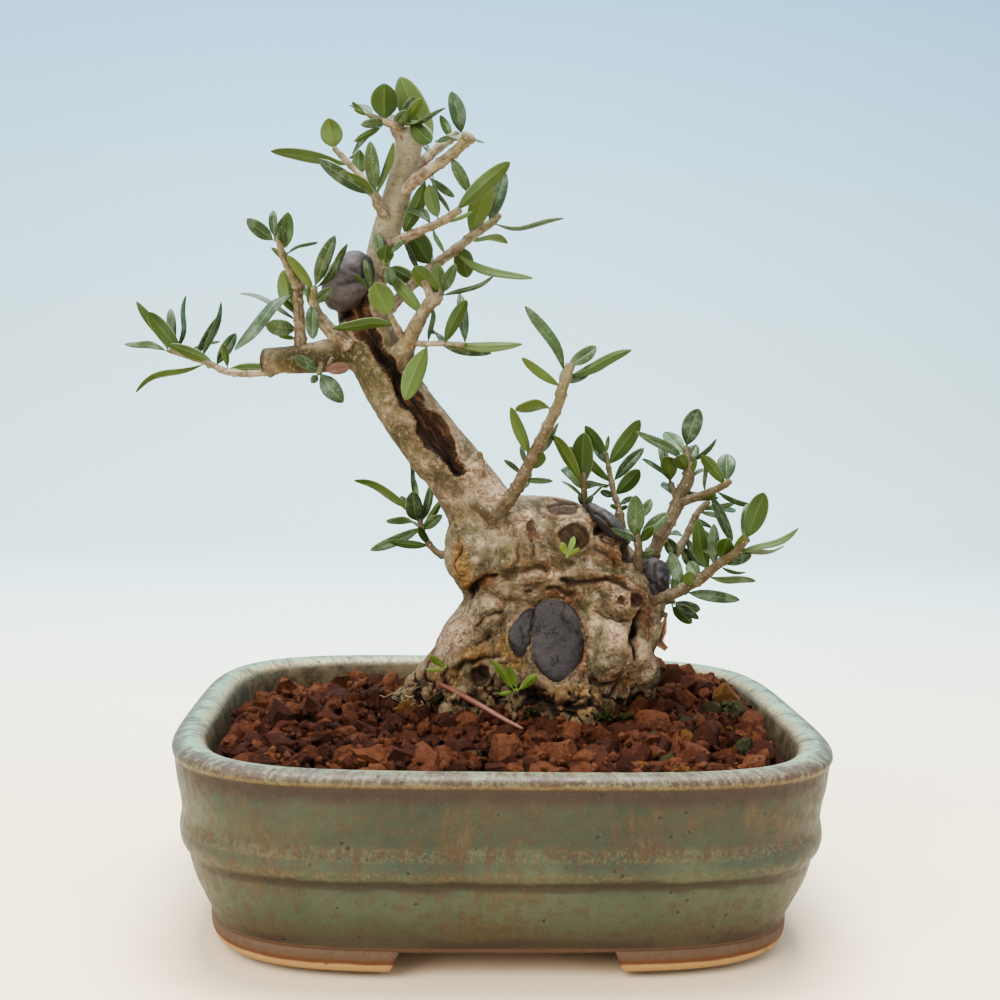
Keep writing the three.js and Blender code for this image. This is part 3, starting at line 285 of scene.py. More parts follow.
def pieceFrom(name, shape, materials, slot, replaced=(), smooth=True):
    # A mesh in metres from a shape, its values as attributes, that rides on the part.
    points = (shape["points"] + potMiddle) / 1000
    quads, tris = shape["quads"].astype(np.int32), shape["tris"].astype(np.int32)
    mesh = bpy.data.meshes.new(name)
    mesh.vertices.add(len(points))
    mesh.vertices.foreach_set("co", points.astype(np.float32).ravel())
    corners = np.concatenate([quads.ravel(), tris.ravel()])
    mesh.loops.add(len(corners))
    mesh.loops.foreach_set("vertex_index", corners)
    starts = np.concatenate([np.arange(len(quads)) * 4, len(quads) * 4 + np.arange(len(tris)) * 3])
    mesh.polygons.add(len(starts))
    mesh.polygons.foreach_set("loop_start", starts.astype(np.int32))
    for material in materials:
        mesh.materials.append(material)
    if "part" in shape:
        owner = np.concatenate([shape["part"][quads[:, 0]], shape["part"][tris[:, 0]]])
        mesh.polygons.foreach_set("material_index", owner.astype(np.int32))
    mesh.polygons.foreach_set("use_smooth", np.full(len(starts), smooth))
    for key, value in shape.items():
        if key in ("points", "quads", "tris", "part"):
            continue
        kind = "FLOAT" if value.ndim == 1 else "FLOAT_COLOR"
        layer = mesh.attributes.new(key, kind, "POINT")
        layer.data.foreach_set("value" if value.ndim == 1 else "color", value.astype(np.float32).ravel())
    mesh.update(calc_edges=True)
    piece = bpy.data.objects.new(name, mesh)
    bpy.context.collection.objects.link(piece)
    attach(piece, "root")
    if replaced:
        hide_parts(*replaced)
    return piece


# Materials


def tone(red, green, blue):  # a screen colour as the light values that shaders mix
    light = (v / 12.92 if v <= 0.04045 else ((v + 0.055) / 1.055) ** 2.4 for v in (red, green, blue))
    return (*light, 1)


class Finish:  # a material and short ways to add its nodes
    def __init__(self, name, look):
        self.material = bpy.data.materials.new(name)
        self.material.use_nodes = True
        self.nodes = self.material.node_tree.nodes
        self.links = self.material.node_tree.links
        self.nodes.clear()
        self.look = {key: tone(*colour) for key, colour in look.items()}
        self.place = self.add("TexCoord", {}, "Object")

    def add(self, kind, values, output=0, **settings):
        # A node with its settings; a value from another node is linked, any other is set. Gives one output.
        node = self.nodes.new("ShaderNode" + kind)
        for key, value in settings.items():
            setattr(node, key, value)
        for key, value in values.items():
            socket = node.inputs[key]
            if isinstance(value, bpy.types.NodeSocket):
                self.links.new(value, socket)
            else:
                socket.default_value = value
        return node.outputs if output is None else node.outputs[output]

    def value(self, key, output="Fac"):  # what the mesh says at each point
        return self.add("Attribute", {}, output, attribute_name=key)

    def colours(self, key):  # the four values of a colour attribute
        return *self.add("SeparateColor", {0: self.value(key, "Color")}, None), self.value(key, "Alpha")

    def stretched(self, x, y, z):  # places scaled along each axis: a share below 1 draws a noise out
        return self.add("Mapping", {"Vector": self.place, "Scale": (x, y, z)})

    def noise(self, size, detail=4.0, rough=0.55, bend=0.0, place=None):  # size of a patch in millimetres
        return self.add("TexNoise", {"Vector": place or self.place, "Scale": 1000 / size, "Detail": detail,
                                     "Roughness": rough, "Distortion": bend}, "Fac")

    def cells(self, size):  # distance to the nearest of scattered spots
        return self.add("TexVoronoi", {"Vector": self.place, "Scale": 1000 / size}, "Distance")

    def crease(self, size, width, place=None):  # thin lines where a noise passes its middle value
        gap = self.sum("ABSOLUTE", self.minus(self.noise(size, 4, 0.6, 0.4, place), 0.5))
        return self.between(gap, width, width * 0.15)

    def measures(self):  # x, y and z in millimetres
        return [self.times(value, 1000.0) for value in self.add("SeparateXYZ", {0: self.place}, None)]

    def sum(self, kind, a, b=0.0):  # a sum of two values by its name, or of one
        return self.add("Math", {0: a, 1: b}, operation=kind)

    def times(self, a, b):
        return self.sum("MULTIPLY", a, b)

    def plus(self, a, b):
        return self.sum("ADD", a, b)

    def minus(self, a, b):
        return self.sum("SUBTRACT", a, b)

    def between(self, value, low, high, most=1.0, least=0.0):  # least at low, most at high, smooth between
        values = {"Value": value, "From Min": low, "From Max": high, "To Min": least, "To Max": most}
        return self.add("MapRange", values, interpolation_type="SMOOTHSTEP")

    def band(self, value, low, high, soft):  # 1 between low and high, 0 outside
        return self.times(self.between(value, low - soft, low + soft),
                          self.between(value, high - soft, high + soft, 0.0, 1.0))

    def mix(self, share, a, b):  # a and b are colours, or names in the look
        a, b = (self.look[colour] if isinstance(colour, str) else colour for colour in (a, b))
        return self.add("Mix", {0: share, 6: a, 7: b}, 2, data_type="RGBA")

    def lay(self, share, over):  # lays a colour over the material's own where the share is high
        self.colour = self.mix(share, self.colour, over)

    def bump(self, height, depth, before=None):  # depth in millimetres, on top of the bumps before it
        values = {"Height": height, "Distance": depth / 1000, "Strength": 1.0}
        if before is not None:
            values["Normal"] = before
        return self.add("Bump", values)

    def done(self, rough, normal=None, gloss=0.5, through=None):
        # Closes the material with a surface; through gives the share and colour of light that passes it.
        bumps = {} if normal is None else {"Normal": normal}
        result = self.add("BsdfPrincipled", dict(
            bumps, **{"Base Color": self.colour, "Roughness": rough, "Specular IOR Level": gloss}))
        if through is not None:
            share, colour = through
            passing = self.add("BsdfTranslucent", dict(bumps, Color=colour))
            result = self.add("MixShader", {0: share, 1: result, 2: passing})
        self.add("OutputMaterial", {"Surface": result}, None)
        return self.material


glazeLook = {
    "green": (0.147, 0.205, 0.16),
    "paleGreen": (0.225, 0.265, 0.20),
    # painted shade: the upper wall's middle, where the lip's shade falls
    "paintedShadeGreen": (0.11, 0.15, 0.115),
    "brown": (0.225, 0.17, 0.112),
    "sand": (0.33, 0.29, 0.215),
    "purpleBrown": (0.15, 0.10, 0.078),
    # dark brown: the painted shade line in the groove, glaze pits and dirt inside
    "darkLine": (0.12, 0.085, 0.055),
    "rim": (0.44, 0.535, 0.44),
    "rimGreen": (0.37, 0.46, 0.365),
    "rimCream": (0.58, 0.53, 0.37),
    "rimFront": (0.33, 0.275, 0.19),
    "mark": (0.225, 0.16, 0.125),
    "ochre": (0.36, 0.31, 0.19),
    "rustBrown": (0.34, 0.21, 0.115),
    "footPale": (0.62, 0.50, 0.33),
    "footBrown": (0.32, 0.235, 0.175),
    "inside": (0.35, 0.305, 0.22),
    "speck": (0.56, 0.56, 0.46),
}


glazeHeights = {  # millimetres above the ground, where a band starts and ends, or fades from and to
    # the painted shade on the upper wall's middle
    "paintedShadeGreen": (31.0, 42.0),
    "underLip": (39.5, 42.6),
    "lipStart": (44.6, 45.1),
    "lipLine": (44.4, 45.2),
    "beltRust": (28.6, 31.4),
    "beltGrains": (27.9, 30.6),
    "lowGrains": (23.6, 25.6),
    # where the painted shade line in the groove under the belt lies
    "groove": (20.9, 23.3),
    "paleLow": (21.0, 18.5),
    "brownLow": (14.5, 8.0),
    "purpleLow": (9.6, 7.0),
    "footEdge": (5.2, 6.2),
    "footTop": (5.7, 5.3),
    "footRust": (3.7, 3.1),
    "footPale": (2.7, 2.0),
    "footBottom": (0.45, 0.15),
    "dirt": (46.2, 44.4),
}


def glazeFinish():
    # Green and pale-green clouds, deep green painted shade on the middle of the upper wall under the lip,
    # brown and sand runs, brown mottle and fine specks, then bands by height: purple-brown under the lip,
    # ochre grains and rust on the belt, a painted shade line in the groove under the belt, brown at the foot.
    # The feet go from brown through rust to honey. The lip is turquoise, cream at its outer edge and browner
    # inside and in front, with marks that run across it. Dirt lies inside; pits and pale specks all over.
    f, at = Finish("ashGlaze", glazeLook), glazeHeights
    x, y, z = f.measures()
    wobble = f.times(f.minus(f.noise(9, 4), 0.5), 3.4)
    zw = f.plus(z, wobble)
    tall = f.stretched(1, 1, 0.25)
    runs = f.noise(2.2, 5, 0.7, place=tall)
    clouds = f.noise(24, 4, 0.6)
    fine = f.noise(0.9, 5, 0.75)
    mottle = f.noise(2.6, 6, 0.75)
    f.colour = f.mix(f.between(clouds, 0.36, 0.64), "green", "paleGreen")
    # Painted shade: the middle of the upper wall, under the lip, is darkened to deep green.
    middle = f.times(f.between(x, -50.0, -15.0), f.band(z, *at["paintedShadeGreen"], 1.0))
    f.lay(f.times(middle, 0.6), "paintedShadeGreen")
    patch = f.noise(19, 3, 0.55, place=f.stretched(1, 1, 1.3))
    drips = f.plus(f.times(runs, 0.62), f.times(patch, 0.62))
    f.lay(f.between(z, *at["paleLow"], 0.55), "paleGreen")
    f.lay(f.between(drips, 0.60, 0.72, 0.6), "brown")
    f.lay(f.between(drips, 0.68, 0.78, 0.3), "sand")
    f.lay(f.between(mottle, 0.50, 0.62, 0.6), "brown")
    f.lay(f.between(fine, 0.55, 0.68, 0.5), "brown")
    f.lay(f.between(fine, 0.42, 0.30, 0.5), "paleGreen")
    top = f.times(f.between(zw, *at["underLip"]), f.between(z, 45.4, 44.8))
    f.lay(f.times(top, 0.9), "purpleBrown")
    speckle = f.between(f.noise(0.9, 4, 0.75), 0.46, 0.58)
    belt = f.times(f.band(z, *at["beltGrains"], 0.6), speckle)
    f.lay(f.times(belt, 0.6), "ochre")
    rust = f.times(f.band(zw, *at["beltRust"], 0.5), f.between(runs, 0.44, 0.56, 0.65))
    f.lay(rust, "brown")
    belt = f.times(f.band(z, *at["lowGrains"], 0.6), speckle)
    f.lay(f.times(belt, 0.4), "ochre")
    # Painted shade: a dark line in the groove under the belt.
    f.lay(f.times(f.band(zw, *at["groove"], 0.5), 0.75), "darkLine")
    f.lay(f.between(zw, *at["brownLow"], 0.5), "brown")
    low = f.times(f.between(zw, *at["purpleLow"]), f.between(f.noise(30, 2), 0.4, 0.56, 0.8, 0.25))
    f.lay(low, "purpleBrown")
    f.lay(f.band(z, *at["footEdge"], 0.4), "footBrown")
    level = f.plus(z, f.times(wobble, 0.22))
    foot = f.mix(f.between(fine, 0.4, 0.65, 0.6), "footBrown", "sand")
    foot = f.mix(f.between(level, *at["footRust"]), foot, "rustBrown")
    foot = f.mix(f.between(level, *at["footPale"]), foot, "footPale")
    foot = f.mix(f.between(z, *at["footBottom"]), foot, "rustBrown")
    f.lay(f.between(z, *at["footTop"]), foot)
    across = f.noise(1.3, 5, 0.65, place=f.value("ring", "Vector"))
    cloud = f.noise(8, 3)
    section = f.value("section")
    marks = f.plus(across, f.times(cloud, 0.5))
    marks = f.plus(marks, f.times(f.band(section, 0.05, 0.5, 0.1), 0.08))
    lip = f.mix(f.between(f.noise(5, 4, 0.6), 0.42, 0.62, 0.6), "rim", "rimGreen")
    lip = f.mix(f.between(section, 0.68, 0.86, 0.8), lip, "rimCream")
    lip = f.mix(f.between(section, 0.9, 1.02, 0.7), lip, "paleGreen")
    lip = f.mix(f.between(section, 0.55, 0.25, 0.4), lip, "inside")
    lip = f.mix(f.between(y, -46.0, -58.0, 0.6), lip, "rimFront")
    edge = f.times(f.between(section, 0.72, 0.95), f.between(fine, 0.42, 0.56))
    lip = f.mix(f.times(edge, 0.75), lip, "brown")
    lip = f.mix(f.between(marks, 0.74, 0.88, 0.8), lip, "mark")
    lip = f.mix(f.between(fine, 0.54, 0.64, 0.4), lip, "rimCream")
    front = f.times(f.between(section, 0.5, 0.2), f.between(f.noise(1.1, 5, 0.8), 0.45, 0.57))
    lip = f.mix(f.times(front, 0.75), lip, "mark")
    isLip = f.times(f.between(z, *at["lipStart"]), f.between(section, 1.5, 1.1))
    f.lay(isLip, lip)
    within = f.value("within")
    line = f.times(f.band(z, *at["lipLine"], 0.3), f.between(within, 0.5, 0.1))
    f.lay(f.times(line, f.between(speckle, 0.0, 1.0, 1.0, 0.35)), "ochre")
    dirt = f.mix(f.between(f.noise(5, 5, 0.7), 0.38, 0.68, 0.8), "inside", "darkLine")
    dirt = f.mix(f.between(f.noise(3, 4, 0.6, place=tall), 0.52, 0.68, 0.6), dirt, "paleGreen")
    f.lay(f.times(within, f.between(zw, *at["dirt"])), dirt)
    under = f.value("under")
    f.lay(under, f.mix(f.between(fine, 0.4, 0.7), "rustBrown", "footPale"))
    pits = f.times(f.between(f.cells(3.1), 0.14, 0.07), f.between(f.noise(6, 2), 0.5, 0.6))
    f.lay(f.times(pits, 0.8), "darkLine")
    specks = f.times(f.between(f.cells(0.95), 0.2, 0.08), f.between(f.noise(2.1, 3), 0.46, 0.56))
    f.lay(f.times(specks, 0.14), "speck")
    rough = f.between(f.noise(2.4, 4), 0.3, 0.8, 0.65, 0.45)
    dull = f.sum("MAXIMUM", under, f.between(z, 7.0, 6.2))
    rough = f.plus(rough, f.times(dull, 0.2))
    normal = f.bump(f.noise(1.6, 4, 0.6), 0.12)
    normal = f.bump(f.noise(5, 3, 0.5, place=f.stretched(1, 1, 0.4)), 0.2, normal)
    normal = f.bump(pits, -0.25, normal)
    return f.done(rough=rough, normal=normal, gloss=0.4)


barkLook = {
    "pale": (0.52, 0.465, 0.375),
    "beige": (0.70, 0.63, 0.53),
    "grey": (0.40, 0.365, 0.29),
    "green": (0.29, 0.31, 0.17),
    "pinkish": (0.60, 0.50, 0.40),
    "pinkPale": (0.74, 0.66, 0.55),
    "redBrown": (0.31, 0.205, 0.145),
    "redPale": (0.50, 0.38, 0.285),
    "ochre": (0.40, 0.31, 0.17),
    "ochrePale": (0.58, 0.48, 0.30),
    "brown": (0.34, 0.25, 0.175),
    # brown: fine crack lines, and the painted shade at the sides of crevices
    "crack": (0.20, 0.13, 0.08),
    "orange": (0.52, 0.38, 0.26),
    # near black: the painted shade deep in crevices, and the dark fibres of dead wood
    "dark": (0.085, 0.055, 0.035),
    "deadWood": (0.23, 0.155, 0.105),
    # Olive-green bark, also used as painted shade on the trunk's underside and its shaded left side.
    "oliveAndShade": (0.225, 0.215, 0.13),
    "oliveAndShadePale": (0.335, 0.315, 0.21),
    "young": (0.53, 0.525, 0.435),
    "rust": (0.42, 0.29, 0.20),
}


def barkFinish():
    # Grey, pale, beige and brown clouds, green where the "green" value and a noise agree, paler high up. The
    # four tints take over where their value is high, ochre low down, orange in lens spots and on flaked
    # edges. The fourth tint is partly olive-green bark and partly painted shade on the trunk's underside and
    # its shaded left side. Creases run along bent noise lines. Painted shade darkens cracks, knots, the
    # hollow and recesses, brown at their sides and near black in their depth, and dead wood shows dark
    # fibres, with rust ones high up, where the "dead" value is 1.
    f = Finish("oliveBark", barkLook)
    creviceShade, green, dead, flake = f.colours("wood")
    pinkish, redBrown, ochre, oliveAndShade = f.colours("tint")
    z = f.measures()[2]
    curls = f.add("TexNoise", {"Vector": f.place, "Scale": 210.0, "Detail": 4.0}, "Color")
    shift = f.add("VectorMath", {0: curls, "Scale": 0.006}, operation="SCALE")
    bent = f.add("VectorMath", {0: f.place, 1: shift}, operation="ADD")
    broad = f.noise(8, 5, 0.6)
    middle = f.noise(3.2, 6, 0.68)
    fine = f.noise(1.1, 6, 0.75)
    grit = f.noise(0.5, 3, 0.7)
    f.colour = f.mix(f.between(broad, 0.38, 0.6), "grey", "pale")
    f.lay(f.times(green, f.between(f.noise(6, 5, 0.65), 0.38, 0.6)), "green")
    f.lay(f.between(middle, 0.48, 0.68, 0.65), "beige")
    f.lay(f.between(middle, 0.44, 0.32, 0.6), "brown")
    f.lay(f.between(z, 146.0, 158.0, 0.65), "young")
    ragged = f.times(f.minus(middle, 0.5), 1.6)
    # The fourth tint is partly olive-green bark and partly painted shade.
    for value, dark, light in ((pinkish, "pinkish", "pinkPale"), (ochre, "ochre", "ochrePale"),
                               (oliveAndShade, "oliveAndShade", "oliveAndShadePale"), (redBrown, "redBrown", "redPale")):
        share = f.between(f.plus(value, f.times(value, ragged)), 0.25, 0.7, 0.92)
        f.lay(share, f.mix(f.between(fine, 0.4, 0.62), dark, light))
    f.lay(f.between(fine, 0.54, 0.68, 0.5), "beige")
    f.lay(f.between(fine, 0.46, 0.33, 0.7), "brown")
    crust = f.times(f.between(z, 60.0, 50.0), f.between(middle, 0.4, 0.56))
    f.lay(f.times(crust, 0.7), "ochre")
    lens = f.between(f.cells(2.6), 0.22, 0.1)
    f.lay(f.times(lens, f.between(f.noise(12, 2), 0.46, 0.6)), "orange")
    lines = f.crease(5.5, 0.03, bent)
    lines = f.times(lines, f.between(f.noise(10, 3), 0.45, 0.6))
    scratches = f.crease(2.2, 0.05, bent)
    scratches = f.times(scratches, f.between(f.noise(7, 3), 0.42, 0.58))
    hairs = f.times(f.crease(1.3, 0.06, bent), f.between(f.noise(5, 3), 0.44, 0.58))
    seams = f.sum("MAXIMUM", lines, f.times(scratches, 0.75))
    seams = f.sum("MAXIMUM", seams, f.times(hairs, 0.6))
    seams = f.times(seams, f.between(z, 150.0, 100.0, 1.0, 0.2))
    f.lay(f.times(seams, 0.75), "crack")
    edge = f.times(flake, f.between(f.noise(1.9, 5, 0.7), 0.45, 0.65))
    f.lay(edge, "orange")
    # Painted shade: cracks, knots, the hollow and recesses darkened by the crevice shade value.
    paintedCreviceShade = f.between(f.plus(creviceShade, f.times(f.minus(fine, 0.5), 0.9)), 0.2, 0.65)
    f.lay(f.times(paintedCreviceShade, 0.85), "crack")
    f.lay(f.between(creviceShade, 0.6, 1.05, 0.95), "dark")
    fibres = f.noise(2.0, 5, 0.7, 0.3, place=f.value("fibre", "Vector"))
    wood = f.mix(f.between(fibres, 0.40, 0.54), "dark", "deadWood")
    rust = f.times(f.between(fibres, 0.53, 0.64, 0.9), f.between(z, 98.0, 104.0))
    wood = f.mix(rust, wood, "rust")
    f.lay(dead, wood)
    low = f.minus(middle, f.times(seams, 0.35))
    normal = f.bump(low, 0.8)
    normal = f.bump(fine, 0.5, normal)
    normal = f.bump(grit, 0.16, normal)
    return f.done(rough=0.78, normal=normal, gloss=0.25)


twigLook = {
    "grey": (0.38, 0.335, 0.265),
    "beige": (0.57, 0.525, 0.455),
    "brown": (0.30, 0.23, 0.17),
    "green": (0.33, 0.34, 0.19),
    "dot": (0.62, 0.54, 0.42),
    "low": (0.29, 0.25, 0.175),
}


def twigFinish():
    # Grey and beige clouds, brown and beige streaks along the twig, greener towards its tip, olive-brown low
    # on the tree, small pale dots.
    f = Finish("youngBark", twigLook)
    young = f.value("along")
    streaks = f.noise(0.9, 5, 0.7, place=f.value("leafPlace", "Vector"))
    f.colour = f.mix(f.between(f.noise(3.2, 5, 0.6), 0.38, 0.62), "grey", "beige")
    f.lay(f.between(streaks, 0.5, 0.64, 0.7), "brown")
    f.lay(f.between(streaks, 0.46, 0.36, 0.6), "beige")
    f.lay(f.between(f.noise(1.4, 4, 0.7), 0.54, 0.7, 0.8), "brown")
    f.lay(f.times(f.between(young, 0.3, 1.0), f.noise(5, 3)), "green")
    z = f.measures()[2]
    f.lay(f.between(z, 138.0, 112.0, 0.68), "low")
    f.lay(f.between(f.cells(1.3), 0.22, 0.12, 0.7), "dot")
    normal = f.bump(streaks, 0.35)
    normal = f.bump(f.noise(1.0, 5, 0.7), 0.3, normal)
    return f.done(rough=0.78, normal=normal, gloss=0.25)


leafLook = {
    "upper": (0.15, 0.235, 0.135),
    "upperBright": (0.26, 0.345, 0.20),
    "lower": (0.225, 0.31, 0.13),
    "lowerPale": (0.345, 0.425, 0.205),
    "vein": (0.48, 0.54, 0.26),
    # the pale margin: partly the leaf's own pale edge, partly a painted sheen
    "edge": (0.52, 0.54, 0.36),
    "dust": (0.54, 0.61, 0.52),
    "through": (0.34, 0.48, 0.10),
}


def leafFinish(name="oliveLeaf", change=None):
    # Dark blue-green above and yellow-green below, a pale midrib, a pale margin that is partly the leaf's own
    # edge and partly a painted sheen, faint side veins that slant from the midrib, whitish dust on the upper
    # side, and light that passes through the blade.
    f = Finish(name, dict(leafLook, **(change or {})))
    across, along, side, shade = f.colours("leafPlace")
    gap = f.sum("ABSOLUTE", f.minus(across, 0.5))
    patch = f.plus(shade, f.times(f.minus(f.noise(7, 3), 0.5), 0.5))
    upper = f.mix(f.between(patch, 0.35, 0.95), "upper", "upperBright")
    lower = f.mix(f.between(patch, 0.2, 0.9), "lower", "lowerPale")
    f.colour = f.mix(f.between(side, 0.35, 0.65), lower, upper)
    slant = f.plus(f.times(along, 46.0), f.times(gap, -30.0))
    veins = f.between(f.sum("SINE", slant), 0.75, 1.0)
    f.lay(f.times(veins, 0.1), "vein")
    rib = f.between(gap, 0.045, 0.02)
    f.lay(f.times(rib, f.between(side, 0.35, 0.65, 0.55, 0.3)), "vein")
    # Pale margin: partly the leaf's own edge, partly a painted sheen along it.
    f.lay(f.between(gap, 0.44, 0.48, 0.8), "edge")
    dust = f.between(f.noise(0.5, 3, 0.7), 0.55, 0.66)
    dust = f.times(dust, f.between(f.noise(4, 3), 0.38, 0.6))
    f.lay(f.times(side, f.between(f.noise(3.4, 4, 0.6), 0.46, 0.66, 0.3)), "dust")
    f.lay(f.times(dust, f.times(side, 0.65)), "dust")
    rough = f.between(side, 0.3, 0.7, 0.46, 0.58)
    height = f.plus(f.times(veins, 0.3), f.noise(1.2, 3))
    normal = f.bump(height, 0.06)
    passing = f.mix(shade, "through", "lower")
    return f.done(through=(0.28, passing), rough=rough, normal=normal, gloss=0.35)


soilLook = {
    "red": (0.345, 0.185, 0.105),
    "orange": (0.43, 0.265, 0.165),
    "deep": (0.24, 0.122, 0.07),
    "ochre": (0.42, 0.29, 0.14),
    "greyGreen": (0.24, 0.235, 0.14),
    "black": (0.045, 0.033, 0.024),
}


def granuleFinish():
    # One colour draw for each granule picks red or deep brown, and now and then ochre, grey-green or
    # black; crumbs that catch the light are orange, and pores are deep brown.
    f = Finish("lavaGranule", soilLook)
    draw = f.value("grain")
    rough = f.noise(1.4, 6, 0.75)
    crumbs = f.noise(0.9, 5, 0.8)
    f.colour = f.mix(f.between(draw, 0.0, 0.7), "deep", "red")
    lit = f.plus(f.times(draw, 0.5), f.times(rough, 0.9))
    f.lay(f.between(lit, 0.68, 1.0), "orange")
    f.lay(f.band(draw, 1.5, 2.5, 0.1), "ochre")
    f.lay(f.band(draw, 2.5, 3.5, 0.1), "greyGreen")
    f.lay(f.between(draw, 3.4, 3.6), "black")
    f.lay(f.between(rough, 0.48, 0.32, 0.8), "deep")
    f.lay(f.between(crumbs, 0.56, 0.7, 0.6), "orange")
    normal = f.bump(f.noise(1.7, 7, 0.85), 1.7)
    normal = f.bump(f.noise(0.7, 4, 0.8), 0.6, normal)
    return f.done(rough=0.85, normal=normal, gloss=0.2)


def pasteFinish(name="woundPaste", low=0.15, high=0.235):
    # Grey-brown matte skin between two greys, a dark red-brown rim, dark creases and scratches, pale grains.
    f = Finish(name, {
        "dark": (low, low * 0.925, low * 0.93), "light": (high, high * 0.935, high * 0.925),
        "rim": (0.17, 0.075, 0.05), "cut": (0.03, 0.025, 0.025), "scratch": (0.07, 0.06, 0.06),
        "grain": (0.32, 0.29, 0.27),
    })
    skin = f.noise(5, 4, 0.6)
    f.colour = f.mix(f.between(skin, 0.35, 0.65), "dark", "light")
    f.lay(f.between(f.value("rim"), 0.95, 0.99), "rim")
    f.lay(f.value("cut"), "cut")
    scratches = f.times(f.crease(3.4, 0.02), f.between(f.noise(4, 2), 0.5, 0.6))
    f.lay(f.times(scratches, 0.6), "scratch")
    grains = f.noise(0.6, 4, 0.7)
    f.lay(f.between(grains, 0.58, 0.7, 0.35), "grain")
    normal = f.bump(f.noise(2.0, 6, 0.68), 0.55)
    normal = f.bump(scratches, -0.25, normal)
    normal = f.bump(grains, 0.06, normal)
    return f.done(rough=f.between(skin, 0.3, 0.7, 0.74, 0.5), normal=normal, gloss=0.4)


def stalkFinish():  # red-brown clouds with darker specks
    look = {"dark": (0.27, 0.125, 0.08), "light": (0.47, 0.275, 0.195), "speck": (0.3, 0.15, 0.11)}
    f = Finish("dryStalk", look)
    f.colour = f.mix(f.noise(3, 4), "dark", "light")
    f.lay(f.between(f.noise(0.9, 3), 0.55, 0.7, 0.6), "speck")
    return f.done(rough=0.5, normal=f.bump(f.noise(1.0, 4), 0.1))


def netFinish():  # black plastic with a faint grain
    f = Finish("netPlastic", {"dark": (0.1, 0.1, 0.1), "light": (0.16, 0.16, 0.15)})
    f.colour = f.mix(f.noise(2, 3), "dark", "light")
    return f.done(rough=0.55, normal=f.bump(f.noise(0.7, 3), 0.05))


def mossFinish():  # deep green and yellow-green clouds
    f = Finish("moss", {"deep": (0.06, 0.07, 0.03), "light": (0.19, 0.20, 0.08)})
    f.colour = f.mix(f.between(f.noise(1.1, 4, 0.7), 0.35, 0.65), "deep", "light")
    return f.done(rough=0.9, normal=f.bump(f.noise(0.8, 5, 0.8), 0.5), gloss=0.1)


def rootletFinish():  # pale and brown clouds
    f = Finish("rootlet", {"pale": (0.60, 0.53, 0.42), "brown": (0.40, 0.33, 0.25)})
    f.colour = f.mix(f.noise(1.5, 2), "pale", "brown")
    return f.done(rough=0.7)


